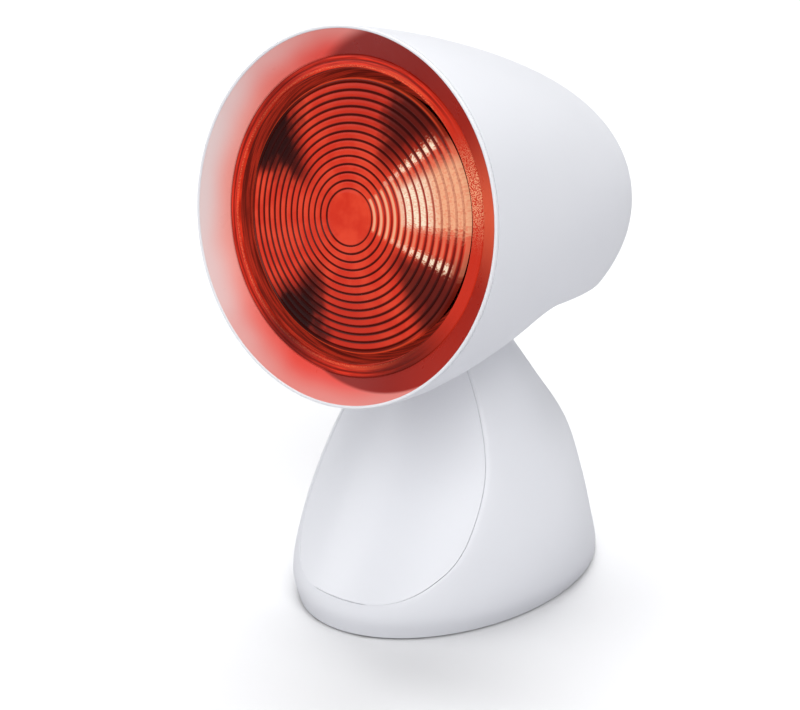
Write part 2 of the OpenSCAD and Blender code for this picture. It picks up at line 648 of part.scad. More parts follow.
module support_column() color("#dfe1e5") in_foot() difference() {
    union() {
        translate([0, pivot_y, pivot_z]) along_x(knuckle_r, -knuckle_w / 2, knuckle_w / 2);
        translate([-column_w / 2, column_y - column_d / 2, plate_top])
            cube([column_w, column_d, column_top - plate_top]);
        translate([-column_foot_w / 2, column_y - column_foot_d / 2, plate_top])
            cube([column_foot_w, column_foot_d, column_foot_t]);
    }
    translate([0, pivot_y, pivot_z]) along_x(axle_r + axle_play, -beyond, beyond);
    translate([0, column_y, plate_top - 1]) cylinder(h = pivot_z - knuckle_r - plate_top - 6, r = channel_r);
    translate([0, 0, pivot_z - knuckle_r - 12]) along_y(channel_r, column_y, beyond);
    translate([knuckle_w / 2, pivot_y, pivot_z]) rotate([0, 90, 0]) rotate_extrude()
        translate([ball_orbit - 1.7, -ball_sink - 0.2]) square([3.4, 2]);
    for (i = [0:detents - 1]) let(a = -head_tilt + (i - (detents - 1) / 2) * detent_step)
        translate([0, pivot_y, pivot_z]) rotate([a, 0, 0])
            translate([ball_x, 0, ball_orbit]) sphere(r = ball_r + 0.15, $fn = 48);
    for (p = column_spots) translate([p[0], p[1], plate_top]) rotate([180, 0, 0]) pilot(column_foot_t - 0.5);
}

module column_screws() color(steel) in_foot()
    for (p = column_spots) translate([p[0], p[1], plate_z]) rotate([180, 0, 0]) screw(plate_t + 2.5);

// ---- foot ----
module base_shell() color(white) in_foot() difference() {
    union() {
        tube([for (l = foot_levels) ring(l[0], 0, seat_inset, edge_w, l[1])],
            [for (l = foot_levels) ring(l[0], foot_wall, hollow_inset, 0, l[1])]);
        for (p = foot_bosses) {
            translate([p[0], p[1], boss_from]) cylinder(h = boss_to - boss_from, r = boss_r);
            translate([p[0] > 0 ? p[0] : p[0] - rib(p[1]), p[1] - 1.5, rib_from])
                cube([rib(p[1]), 3, boss_to - rib_from]);
        }
        translate([0, 0, inlet_z]) along_y(port_r, inlet_y - 12, inlet_y);
    }
    translate([0, 0, inlet_z]) along_y(port_r - 2.5, inlet_y - 20, inlet_y + 1);
    for (p = foot_bosses) translate([p[0], p[1], boss_from]) rotate([180, 0, 0]) pilot(12);
    on_rear_wall() {
        translate([-bezel_w / 2 - 0.3, -bezel_h / 2 - 0.3, -seat_sink]) cube([bezel_w + 0.6, bezel_h + 0.6, 9]);
        translate([-bezel_w / 2 + 1, -bezel_h / 2 + 1, -9]) cube([bezel_w - 2, bezel_h - 2, 12]);
    }
    for (z = peg_levels) translate([0, 0, z]) along_y(peg_r + fit_gap, -beyond, face(z, 0, hollow_inset) + 3);
}

function cover_row(level, inset) = let(z = face_levels[level] + (level == 0 ? cover_gap : 0),
        x1 = max(min_half, crease_x(face_levels[level])) - edge_w - cover_gap)
    [for (i = [0:face_points]) let(x = x1 * (2 * i / face_points - 1)) [x, face(z, x, inset), z]];

module front_cover() color(white) in_foot() difference() {
    union() {
        slab([for (i = [0:level_steps]) concat(cover_row(i, 0), reversed(cover_row(i, cover_t)))]);
        for (z = peg_levels) translate([0, 0, z])
            along_y(peg_r, face(z, 0, cover_t) - 0.4, face(z, 0, cover_t) + peg_len);
    }
    for (z = peg_levels) translate([0, face(z, 0, cover_t) + peg_len, z]) rotate([-90, 0, 0]) pilot(peg_len - 1);
}

module front_cover_screws() color(steel) in_foot()
    for (z = peg_levels) translate([0, face(z, 0, cover_t) + peg_len, z]) rotate([-90, 0, 0]) screw(peg_len - 2);

function oval(w, f, b) = [for (i = [0:71]) let(a = 5 * i) [w * cos(a), (a < 180 ? b : f) * sin(a)]];

module floor_plate() color("#e4e5e9") in_foot() difference() {
    translate([0, 0, plate_z]) linear_extrude(plate_t)
        polygon(oval(wall_w(plate_z) - foot_wall - fit_gap, wall_front(plate_z) - foot_wall - fit_gap,
            wall_rear(plate_top) - foot_wall - fit_gap));
    for (p = concat(foot_bosses, column_spots)) translate([p[0], p[1], 0]) cylinder(h = 9, r = shank_r + 0.4);
    for (p = rubber_spots) translate([p[0], p[1], 0]) cylinder(h = 9, r = rubber_plug_r + 0.1);
    for (i = [-4:4]) translate([i * vent_pitch - vent_w / 2, -vent_front, 0]) cube([vent_w, vent_len, 9]);
}

module floor_screws() color(steel) in_foot()
    for (p = foot_bosses) translate([p[0], p[1], plate_z]) rotate([180, 0, 0]) screw(plate_t + 12);

module rubber_feet() color("#4a4b4e") in_foot()
    for (p = rubber_spots) translate([p[0], p[1], 0]) {
        cylinder(h = plate_z, r = rubber_r);
        cylinder(h = plate_top + 0.8, r = rubber_plug_r);
    }

module cord_gland() color("#e9eaee") in_foot() translate([0, 0, inlet_z]) difference() {
    union() {
        along_y(port_r - 2.6, inlet_y - 14, inlet_y);
        along_y(port_r - 1, inlet_y, inlet_y + 2.5);
    }
    along_y(gland_bore_r, inlet_y - 20, inlet_y + 9);
}

module cord_clamp() color("#dfe1e5") in_foot() difference() {
    translate([-11, clamp_y - 3, plate_top]) cube([22, 6, 9]);
    translate([0, 0, plate_top + 5.6]) along_y(gland_bore_r, clamp_y - 9, clamp_y + 9);
    for (x = [-7.5, 7.5]) translate([x, clamp_y, plate_top + 9]) pilot(8);
}

module clamp_screws() color(steel) in_foot()
    for (x = [-7.5, 7.5]) translate([x, clamp_y, plate_top + 9]) screw(7);

module terminal_block() color("#f3f2ee") in_foot() difference() {
    translate([-block_w / 2, block_y - 8, plate_top]) cube([block_w, 16, 11]);
    for (x = [-block_w / 3, 0, block_w / 3]) {
        translate([x, 0, plate_top + 4]) along_y(1.8, block_y - 9, block_y + 9);
        for (y = [-4, 4]) translate([x, block_y + y, plate_top + 6]) cylinder(h = 9, r = 1.7);
    }
}

module terminal_screws() color("#cbb26a") in_foot()
    for (x = [-block_w / 3, 0, block_w / 3], y = [-4, 4]) translate([x, block_y + y, plate_top + 6.2]) difference() {
        cylinder(h = 3.6, r = 1.5);
        translate([-2, -0.25, 2.9]) cube([4, 0.5, 2]);
    }

// ---- switch, drawn with +z out of the rear wall and +y down it ----
rocker_pin_z = -2.5;
module switch_body() color("#e9eaee") in_foot() on_rear_wall() difference() {
    union() {
        translate([-bezel_w / 2, -bezel_h / 2, -seat_sink + 0.05]) cube([bezel_w, bezel_h, bezel_t]);
        translate([-bezel_w / 2 + 1.3, -bezel_h / 2 + 1.3, -switch_depth])
            cube([bezel_w - 2.6, bezel_h - 2.6, switch_depth]);
    }
    translate([-rocker_w / 2 - 0.3, -rocker_half - 0.9, -switch_depth + 1.5])
        cube([rocker_w + 0.6, 2 * rocker_half + 1.8, switch_depth + 9]);
    translate([0, 0, rocker_pin_z]) along_x(1.3, -rocker_w / 2 - 1.1, rocker_w / 2 + 1.1);
}

module switch_tabs() color("#cbb26a") in_foot() on_rear_wall()
    for (y = [-4.5, 4.5]) translate([-2.4, y - 0.4, -switch_depth - 7]) cube([4.8, 0.8, 7]);

module switch_rocker() color("#dcdee3") in_foot() on_rear_wall() translate([0, 0, rocker_pin_z])
    rotate([-rocker_angle, 0, 0]) {
        across(-rocker_w / 2, rocker_w / 2) polygon([[-rocker_half, 5.4], [-rocker_half * 0.5, 4.9], [0, 4.7],
            [rocker_half * 0.5, 4.9], [rocker_half, 5.4], [rocker_half, 2.2], [3, -3.6], [-3, -3.6],
            [-rocker_half, 2.2]]);
        along_x(1.24, -rocker_w / 2 - 0.9, rocker_w / 2 + 0.9);
    }

shade_shell();
shade_liner();
liner_screws();
reflector_collar();
bulb_lens();
bulb_reflector();
bulb_filament();
bulb_cap();
cap_insulator();
cap_contact();
lampholder_body();
lampholder_sleeve();
lampholder_contact();
lampholder_bracket();
bracket_screws();
underside_cover();
underside_screws();
tilt_axle();
axle_nut();
friction_washers();
detent_ball();
detent_spring();
detent_screw();
base_shell();
front_cover();
front_cover_screws();
support_column();
column_screws();
floor_plate();
floor_screws();
rubber_feet();
cord_gland();
cord_clamp();
clamp_screws();
terminal_block();
terminal_screws();
switch_body();
switch_tabs();
switch_rocker();
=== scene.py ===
"""Looks of the table heat lamp: smooth moulded skins, ringed red bulb, finishes, light and camera.

Sizes are in millimetres until a mesh is made. The head's pieces are worked out in the lamp's own
axes (x, drop below the axis, depth behind the mouth), the foot's in (x, y, z) round its middle.
"""
from __future__ import annotations

import logging
import math
from dataclasses import dataclass, field
from enum import Enum

import bmesh
import bpy
import numpy as np
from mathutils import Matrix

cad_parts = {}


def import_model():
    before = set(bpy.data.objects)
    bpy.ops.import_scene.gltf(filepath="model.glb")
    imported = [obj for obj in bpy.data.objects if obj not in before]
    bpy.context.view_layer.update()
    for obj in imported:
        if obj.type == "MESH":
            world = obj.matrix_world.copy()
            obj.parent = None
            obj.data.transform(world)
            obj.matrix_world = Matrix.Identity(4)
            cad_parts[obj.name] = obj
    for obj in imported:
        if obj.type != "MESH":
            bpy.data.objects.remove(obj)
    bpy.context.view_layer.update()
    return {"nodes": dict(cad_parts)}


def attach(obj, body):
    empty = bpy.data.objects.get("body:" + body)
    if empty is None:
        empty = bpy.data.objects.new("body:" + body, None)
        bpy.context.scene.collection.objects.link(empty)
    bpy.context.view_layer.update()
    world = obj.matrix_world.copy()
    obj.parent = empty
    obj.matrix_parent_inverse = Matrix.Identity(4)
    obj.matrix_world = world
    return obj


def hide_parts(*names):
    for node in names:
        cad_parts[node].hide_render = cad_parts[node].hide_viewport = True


MM = 0.001
CENTRE_Y = -3.5
log = logging.getLogger("heat_lamp")


# ---------------------------------------------------------------- meshes from arrays
@dataclass
class Skin:
    """Points and quads of one closed piece, gathered patch by patch, in millimetres."""

    points: list[np.ndarray] = field(default_factory=list)
    quads: list[np.ndarray] = field(default_factory=list)
    count: int = 0

    def add(self, grid: np.ndarray, wrap: bool = False) -> None:
        """Adds a grid of points as quads.

        Args:
            grid: array (rows, columns, 3).
            wrap: True joins the last column to the first.
        """
        rows, cols = grid.shape[:2]
        index = self.count + np.arange(rows * cols).reshape(rows, cols)
        if wrap:
            index = np.concatenate([index, index[:, :1]], axis=1)
        a, b, c, d = index[:-1, :-1], index[1:, :-1], index[1:, 1:], index[:-1, 1:]
        self.quads.append(np.stack([a, d, c, b], axis=-1).reshape(-1, 4))
        self.points.append(grid.reshape(-1, 3))
        self.count += rows * cols

    def build(self, name: str, sharp: float = 30.0) -> bpy.types.Object:
        """Makes the object: doubles merged, normals outwards, smooth but for sharp edges.

        Args:
            name: the object's name.
            sharp: angle in degrees past which an edge stays sharp.

        Returns:
            The new object, at the origin and in metres.
        """
        points = np.concatenate(self.points) * MM
        quads = np.concatenate(self.quads)
        mesh = bpy.data.meshes.new(name)
        mesh.from_pydata(points.tolist(), [], quads.tolist())
        work = bmesh.new()
        work.from_mesh(mesh)
        bmesh.ops.remove_doubles(work, verts=work.verts, dist=2e-6)
        bmesh.ops.dissolve_degenerate(work, edges=work.edges, dist=1e-7)
        bmesh.ops.recalc_face_normals(work, faces=work.faces)
        work.to_mesh(mesh)
        work.free()
        mesh.polygons.foreach_set("use_smooth", np.ones(len(mesh.polygons), dtype=bool))
        mesh.set_sharp_from_angle(angle=math.radians(sharp))
        piece = bpy.data.objects.new(name, mesh)
        bpy.context.scene.collection.objects.link(piece)
        return piece


def soften(piece: bpy.types.Object, width: float, segments: int = 2, angle: float = 35.0) -> None:
    """Rounds a piece's hard edges with a bevel.

    Args:
        piece: the object.
        width: width of the rounding in millimetres.
        segments: number of steps.
        angle: edges bent more than this many degrees are rounded.
    """
    bevel = piece.modifiers.new("rounded edges", "BEVEL")
    bevel.width = width * MM
    bevel.segments = segments
    bevel.limit_method = "ANGLE"
    bevel.angle_limit = math.radians(angle)
    bevel.harden_normals = True


def seat(piece: bpy.types.Object, body: str, slot: str, finish: "Finish", *nodes: str) -> None:
    """Dresses a piece and ties it to its body and to the CAD nodes it stands for.

    Args:
        piece: the object.
        body: the CAD body it rides on.
        slot: not used.
        finish: its finish.
        nodes: CAD nodes it replaces.
    """
    piece.data.materials.clear()
    piece.data.materials.append(finish.material())
    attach(piece, body)
    if nodes:
        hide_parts(*nodes)
    log.info("%s rides on %s, %d faces", piece.name, body, len(piece.data.polygons))


# ---------------------------------------------------------------- the lamp's axis
@dataclass(frozen=True)
class LampAxis:
    """Places points given as (x, drop, depth) on the tilt axle."""

    pivot_z: float = 128.5
    drop: float = 52.8
    depth: float = 92.1
    tilt: float = 11.4

    def place(self, points: np.ndarray) -> np.ndarray:
        """Turns lamp axes into the lamp's standing place.

        The drop and depth are measured from the axle and turned by the tilt about X.

        Args:
            points: array (..., 3) of (x, drop, depth).

        Returns:
            An array of the same shape, (x, y, z).
        """
        angle = math.radians(-(90 + self.tilt))
        c, s = math.cos(angle), math.sin(angle)
        a, b = points[..., 1] - self.drop, points[..., 2] - self.depth
        return np.stack([points[..., 0], a * c - b * s + CENTRE_Y, a * s + b * c + self.pivot_z], axis=-1)

    def mapping(self) -> tuple[tuple[float, float, float], tuple[float, float, float]]:
        """Returns the location and rotation that bring scaled object coordinates to lamp axes."""
        angle = math.radians(90 + self.tilt)
        c, s = math.cos(angle), math.sin(angle)
        y, z = -CENTRE_Y, -self.pivot_z
        return (0.0, y * c - z * s + self.drop, y * s + z * c + self.depth), (angle, 0.0, 0.0)

    def lathe(self, skin: Skin, profile: np.ndarray, steps: int = 192, closed: bool = True) -> None:
        """Adds a profile turned round the lamp's axis.

        Args:
            skin: where the patch goes.
            profile: array (n, 2) of (radius, depth).
            steps: columns round the axis.
            closed: True joins the profile's end to its start.
        """
        if closed:
            profile = np.concatenate([profile, profile[:1]])
        turn = np.linspace(0, 2 * np.pi, steps, endpoint=False)
        radius, depth = profile[:, 0, None], profile[:, 1, None]
        grid = np.stack([radius * np.cos(turn), radius * np.sin(turn), depth + 0 * turn], axis=-1)
        skin.add(self.place(grid), wrap=True)


AXIS = LampAxis()


# ---------------------------------------------------------------- shader helpers
Socket = bpy.types.NodeSocket


@dataclass
class Graph:
    """Short ways to add and join nodes in one node tree."""

    tree: bpy.types.NodeTree

    def node(self, kind: str, **settings: object) -> bpy.types.Node:
        """Adds a node and sets its properties by name."""
        made = self.tree.nodes.new(kind)
        for name, value in settings.items():
            setattr(made, name, value)
        return made

    def feed(self, socket: Socket, value: "Socket | float | tuple[float, ...]") -> None:
        """Joins a socket to another, or gives it a constant."""
        if isinstance(value, bpy.types.NodeSocket):
            self.tree.links.new(value, socket)
        else:
            socket.default_value = value

    def math(self, operation: str, a: "Socket | float", b: "Socket | float" = 0.0,
             c: "Socket | float" = 0.0) -> Socket:
        """Adds a Math node and returns its result."""
        made = self.node("ShaderNodeMath", operation=operation)
        self.feed(made.inputs[0], a)
        self.feed(made.inputs[1], b)
        self.feed(made.inputs[2], c)
        return made.outputs[0]

    def band(self, value: Socket, low: "Socket | float", high: float, out0: float = 0.0,
             out1: float = 1.0) -> Socket:
        """Maps value smoothly from low..high to out0..out1, held at the ends."""
        made = self.node("ShaderNodeMapRange", interpolation_type="SMOOTHSTEP")
        for number, limit in enumerate((value, low, high, out0, out1)):
            self.feed(made.inputs[number], limit)
        return made.outputs[0]

    def near(self, value: Socket, centre: float, width: float) -> Socket:
        """Returns 1 where value is at centre, falling smoothly to 0 at width from it."""
        away = self.math("ABSOLUTE", self.math("SUBTRACT", value, centre))
        return self.band(away, width, 0.0)

    def mix(self, factor: "Socket | float", a: "Socket | tuple[float, ...]", b: "Socket | tuple[float, ...]",
            blend: str = "MIX") -> Socket:
        """Mixes two colours and returns the result."""
        made = self.node("ShaderNodeMix", data_type="RGBA", blend_type=blend)
        self.feed(made.inputs[0], factor)
        self.feed(made.inputs[6], a)
        self.feed(made.inputs[7], b)
        return made.outputs[2]

    def around(self, radius: Socket, angle: Socket, along: float, turns: float) -> Socket:
        """Returns a vector that repeats once round: the angle on a circle, the radius as its height.

        Args:
            radius: distance from the axis.
            angle: angle round it.
            along: scale of the radius.
            turns: radius of the circle, so its detail round the axis.
        """
        made = self.node("ShaderNodeCombineXYZ")
        self.feed(made.inputs[0], self.math("MULTIPLY", self.math("COSINE", angle), turns))
        self.feed(made.inputs[1], self.math("MULTIPLY", self.math("SINE", angle), turns))
        self.feed(made.inputs[2], self.math("MULTIPLY", radius, along))
        return made.outputs[0]

    def noise(self, vector: Socket, scale: float, detail: float = 3.0) -> Socket:
        """Adds a noise texture and returns its value."""
        made = self.node("ShaderNodeTexNoise")
        self.feed(made.inputs["Vector"], vector)
        made.inputs["Scale"].default_value = scale
        made.inputs["Detail"].default_value = detail
        return made.outputs[0]


def rgba(red: float, green: float, blue: float) -> tuple[float, float, float, float]:
    """Returns the linear colour of an sRGB colour given in 0..255."""
    part = np.array([red, green, blue]) / 255
    linear = np.where(part <= 0.04045, part / 12.92, ((part + 0.055) / 1.055) ** 2.4)
    return (float(linear[0]), float(linear[1]), float(linear[2]), 1.0)


def group(name: str, inputs: dict[str, str],
          outputs: dict[str, str]) -> tuple[bpy.types.NodeTree, Graph, bpy.types.Node, bpy.types.Node]:
    """Makes an empty shader group with named sockets.

    Args:
        name: the group's name.
        inputs: socket names and types, "Float" or "Color".
        outputs: the same for the outputs.

    Returns:
        The tree, a Graph on it, its input node and its output node.
    """
    tree = bpy.data.node_groups.new(name, "ShaderNodeTree")
    for side, sockets in (("INPUT", inputs), ("OUTPUT", outputs)):
        for label, kind in sockets.items():
            tree.interface.new_socket(label, in_out=side, socket_type=f"NodeSocket{kind}")
    graph = Graph(tree)
    return tree, graph, graph.node("NodeGroupInput"), graph.node("NodeGroupOutput")


class SharedGroups:
    """Shader groups that several finishes use, each built once."""

    _made: dict[str, bpy.types.NodeTree] = {}

    @classmethod
    def use(cls, graph: Graph, name: str) -> bpy.types.Node:
        """Places a shared group in a material and returns its node."""
        if name not in cls._made:
            cls._made[name] = getattr(cls, "_" + name)()
        return graph.node("ShaderNodeGroup", node_tree=cls._made[name])

    @staticmethod
    def _moulded() -> bpy.types.NodeTree:
        """Moulded plastic: slow tone drift, fine grain for the bump and handling marks in the gloss."""
        tree, g, given, result = group("moulded", {"Tone": "Color", "Gloss": "Float", "Drift": "Float",
                                                   "Grain": "Float"},
                                       {"Color": "Color", "Roughness": "Float", "Height": "Float"})
        place = g.node("ShaderNodeTexCoord").outputs["Object"]
        slow = g.noise(place, 14.0, 2.0)
        fine = g.noise(place, 2600.0, 2.0)
        marks = g.noise(place, 90.0, 5.0)
        dark = g.mix(1.0, given.outputs["Tone"], rgba(226, 228, 234), "MULTIPLY")
        shade = g.math("MULTIPLY", given.outputs["Drift"], slow)
        g.feed(result.inputs["Color"], g.mix(shade, given.outputs["Tone"], dark))
        spread = g.math("MULTIPLY_ADD", g.math("SUBTRACT", marks, 0.5), 0.16, given.outputs["Gloss"])
        g.feed(result.inputs["Roughness"], spread)
        g.feed(result.inputs["Height"], g.math("MULTIPLY", given.outputs["Grain"], fine))
        return tree

    @staticmethod
    def _metal() -> bpy.types.NodeTree:
        """Plated metal: cloudy tone, fine scratches in the gloss and a little tarnish."""
        tree, g, given, result = group("metal", {"Tone": "Color", "Gloss": "Float", "Tarnish": "Float"},
                                       {"Color": "Color", "Roughness": "Float", "Height": "Float"})
        place = g.node("ShaderNodeTexCoord").outputs["Object"]
        stretch = g.node("ShaderNodeMapping")
        g.feed(stretch.inputs["Vector"], place)
        stretch.inputs["Scale"].default_value = (6.0, 1.0, 1.0)
        streak = g.noise(stretch.outputs[0], 700.0, 3.0)
        cloud = g.noise(place, 120.0, 4.0)
        worn = g.math("MULTIPLY", given.outputs["Tarnish"], g.band(cloud, 0.45, 0.7))
        g.feed(result.inputs["Color"], g.mix(worn, given.outputs["Tone"], rgba(96, 84, 70)))
        g.feed(result.inputs["Roughness"], g.math("MULTIPLY_ADD", streak, 0.22, given.outputs["Gloss"]))
        g.feed(result.inputs["Height"], streak)
        return tree

    @staticmethod
    def _lamp_axes() -> bpy.types.NodeTree:
        """Lamp axes of a point, in mm: radius from the axis, angle anticlockwise from the right, depth."""
        tree, g, _, result = group("lamp_axes", {},
                                   {"Radius": "Float", "Angle": "Float", "Depth": "Float", "Place": "Vector"})
        turn = g.node("ShaderNodeMapping")
        g.feed(turn.inputs["Vector"], g.node("ShaderNodeTexCoord").outputs["Object"])
        where, angles = AXIS.mapping()
        turn.inputs["Location"].default_value = where
        turn.inputs["Rotation"].default_value = angles
        turn.inputs["Scale"].default_value = (1000.0, 1000.0, 1000.0)
        parts = g.node("ShaderNodeSeparateXYZ")
        g.feed(parts.inputs[0], turn.outputs[0])
        across, down, depth = parts.outputs
        square = g.math("ADD", g.math("MULTIPLY", across, across), g.math("MULTIPLY", down, down))
        g.feed(result.inputs["Radius"], g.math("SQRT", square))
        g.feed(result.inputs["Angle"], g.math("ARCTAN2", g.math("MULTIPLY", down, -1.0), across))
        g.feed(result.inputs["Depth"], depth)
        g.feed(result.inputs["Place"], turn.outputs[0])
        return tree


def shader(name: str) -> tuple[bpy.types.Material, Graph, bpy.types.Node]:
    """Makes a material and returns it with its Graph and its Principled shader."""
    made = bpy.data.materials.new(name)
    made.use_nodes = True
    graph = Graph(made.node_tree)
    return made, graph, made.node_tree.nodes["Principled BSDF"]


def bump(graph: Graph, bsdf: bpy.types.Node, height: Socket, strength: float, distance: float) -> None:
    """Feeds a height in as a bump.

    Args:
        graph: the material's Graph.
        bsdf: its shader.
        height: the height.
        strength: how strong the bump is.
        distance: the height's size in millimetres.
    """
    made = graph.node("ShaderNodeBump")
    made.inputs["Strength"].default_value = strength
    made.inputs["Distance"].default_value = distance * MM
    graph.feed(made.inputs["Height"], height)
    graph.feed(bsdf.inputs["Normal"], made.outputs[0])


def painted_glow(graph: Graph, bsdf: bpy.types.Node, tone: Socket, where: "Socket | float", own: float,
         light: float) -> None:
    """Paints a tone partly as light from inside: painted light that the camera sees but that is not thrown on
    other pieces.

    Args:
        graph: the material's Graph.
        bsdf: its shader.
        tone: the colour.
        where: 1 where it glows, 0 where it is plain.
        own: share of the tone that the surface keeps as its own colour where it glows.
        light: strength of the painted light.
    """
    dark = graph.mix(own, rgba(0, 0, 0), tone)
    graph.feed(bsdf.inputs["Base Color"], graph.mix(where, tone, dark))
    graph.feed(bsdf.inputs["Emission Color"], graph.mix(where, rgba(0, 0, 0), tone))
    seen = graph.node("ShaderNodeLightPath").outputs["Is Camera Ray"]
    graph.feed(bsdf.inputs["Emission Strength"], graph.math("MULTIPLY", seen, light))


# ---------------------------------------------------------------- finishes
@dataclass(frozen=True)
class Finish:
    """A finish whose material is made once and kept under its name."""

    name: str

    def material(self) -> bpy.types.Material:
        """Returns the material, made on first use."""
        return bpy.data.materials.get(self.name) or self.make()

    def make(self) -> bpy.types.Material:
        """Builds the material; each kind of finish has its own."""
        raise NotImplementedError


@dataclass(frozen=True)
class MouldedPlastic(Finish):
    """Plain coloured plastic from a mould."""

    tone: tuple[float, float, float] = (240, 241, 244)
    gloss: float = 0.34
    drift: float = 0.25
    grain: float = 1.0
    coat: float = 0.0

    def make(self) -> bpy.types.Material:
        """Builds the material from the moulded group."""
        made, g, bsdf = shader(self.name)
        skin = SharedGroups.use(g, "moulded")
        skin.inputs["Tone"].default_value = rgba(*self.tone)
        skin.inputs["Gloss"].default_value = self.gloss
        skin.inputs["Drift"].default_value = self.drift
        skin.inputs["Grain"].default_value = self.grain
        g.feed(bsdf.inputs["Base Color"], skin.outputs["Color"])
        g.feed(bsdf.inputs["Roughness"], skin.outputs["Roughness"])
        bsdf.inputs["Coat Weight"].default_value = self.coat
        bsdf.inputs["Coat Roughness"].default_value = 0.12
        bump(g, bsdf, skin.outputs["Height"], 0.12, 0.05)
        return made


@dataclass(frozen=True)
class PlatedMetal(Finish):
    """Bright or brushed metal."""

    tone: tuple[float, float, float] = (196, 198, 202)
    gloss: float = 0.22
    tarnish: float = 0.1

    def make(self) -> bpy.types.Material:
        """Builds the material from the metal group."""
        made, g, bsdf = shader(self.name)
        skin = SharedGroups.use(g, "metal")
        skin.inputs["Tone"].default_value = rgba(*self.tone)
        skin.inputs["Gloss"].default_value = self.gloss
        skin.inputs["Tarnish"].default_value = self.tarnish
        bsdf.inputs["Metallic"].default_value = 1.0
        g.feed(bsdf.inputs["Base Color"], skin.outputs["Color"])
        g.feed(bsdf.inputs["Roughness"], skin.outputs["Roughness"])
        bump(g, bsdf, skin.outputs["Height"], 0.08, 0.02)
        return made


@dataclass(frozen=True)
class PaintedLightLiner(Finish):
    """White liner with the bulb's red light painted on towards the collar, a painted reflection of the bulb
    on its right, and a funnel behind it in painted shade and red light.
    """

    wall_r: float
    lip_r: float
    step: float
    seam: float
    bulb_r: float
    bulb_air: float
    parabola: float

    def make(self) -> bpy.types.Material:
        """Builds the material: colour by radius, depth and angle over the moulded grain, with painted red
        light, a painted reflection and painted shade.
        """
        made, g, bsdf = shader(self.name)
        axes = SharedGroups.use(g, "lamp_axes")
        radius, angle, depth = (axes.outputs[n] for n in ("Radius", "Angle", "Depth"))
        skin = SharedGroups.use(g, "moulded")
        skin.inputs["Tone"].default_value = rgba(243, 243, 246)
        skin.inputs["Gloss"].default_value = 0.3
        skin.inputs["Drift"].default_value = 0.2
        skin.inputs["Grain"].default_value = 0.8
        turn = g.math("ABSOLUTE", angle)
        share = g.math("DIVIDE", g.math("SUBTRACT", radius, self.wall_r), self.lip_r - self.wall_r)
        cloud = g.math("SUBTRACT", g.noise(axes.outputs["Place"], 0.03, 1.0), 0.5)
        away = g.band(g.math("MULTIPLY_ADD", cloud, 0.5, turn), 2.95, 1.75)
        # Painted red light from the bulb on the inner wall: pale near the lip, salmon towards the collar,
        # redder away from the left.
        inner = g.mix(away, rgba(250, 154, 142), rgba(242, 76, 64))
        outer = g.mix(away, rgba(238, 212, 210), rgba(238, 142, 134))
        wall = g.mix(g.band(g.math("MULTIPLY_ADD", cloud, 0.5, share), -0.05, 1.0), inner, outer)
        # Painted reflection of the bulb on the wall: dark red reaching out towards the lip on the upper and
        # lower right, peach-red where the bright wedge shows.
        below = g.math("SUBTRACT", g.math("DIVIDE", g.math("SUBTRACT", 1.66, turn), 0.78), share)
        above = g.math("SUBTRACT", g.math("DIVIDE", g.math("SUBTRACT", 1.92, turn), 0.32), share)
        side = g.math("GREATER_THAN", angle, 0.0)
        painted_reflection = g.math("ADD", g.math("MULTIPLY", side, g.band(above, -0.25, 0.3)),
                          g.math("MULTIPLY", g.math("SUBTRACT", 1.0, side), g.band(below, -0.05, 0.08)))
        deep = g.mix(g.band(turn, 1.3, 0.6), rgba(150, 32, 24), rgba(178, 40, 26))
        deep = g.mix(g.near(angle, 0.25, 0.5), deep, rgba(244, 98, 66))
        wall = g.mix(painted_reflection, wall, deep)
        bowl = g.math("SQRT", g.math("SUBTRACT", 1.0, g.math(
            "DIVIDE", g.math("MAXIMUM", g.math("SUBTRACT", depth, self.seam), 0.0), self.parabola)))
        middle = g.math("MULTIPLY_ADD", bowl, self.bulb_r, self.bulb_air + 0.7)
        hollow = g.math("MULTIPLY", g.math("LESS_THAN", radius, middle),
                        g.band(depth, self.step - 0.1, self.step))
        # Painted shade and red light in the funnel: streaked dark red, with a brighter red painted highlight
        # on the right.
        streak = g.noise(g.around(depth, angle, 0.9, 2.5), 1.0, 4.0)
        funnel = g.mix(g.band(streak, 0.36, 0.64), rgba(206, 56, 38), rgba(120, 34, 26))
        funnel = g.mix(g.near(angle, 0.3, 0.9), funnel, rgba(218, 66, 40))
        inside = g.math("MULTIPLY", g.band(radius, self.lip_r + 0.25, self.lip_r - 0.1),
                        g.band(depth, 0.1, 0.6))
        inside = g.math("MULTIPLY", inside, g.math("LESS_THAN", depth, self.step + 0.1))
        tone = g.mix(inside, skin.outputs["Color"], wall)
        tone = g.mix(hollow, tone, funnel)
        # The wall and the funnel show their painted light to the camera as emission.
        own = g.math("MAXIMUM", inside, hollow)
        painted_glow(g, bsdf, tone, own, 0.5, 0.42)
        g.feed(bsdf.inputs["Roughness"], skin.outputs["Roughness"])
        bsdf.inputs["Specular IOR Level"].default_value = 0.25
        bump(g, bsdf, skin.outputs["Height"], 0.1, 0.05)
        return made


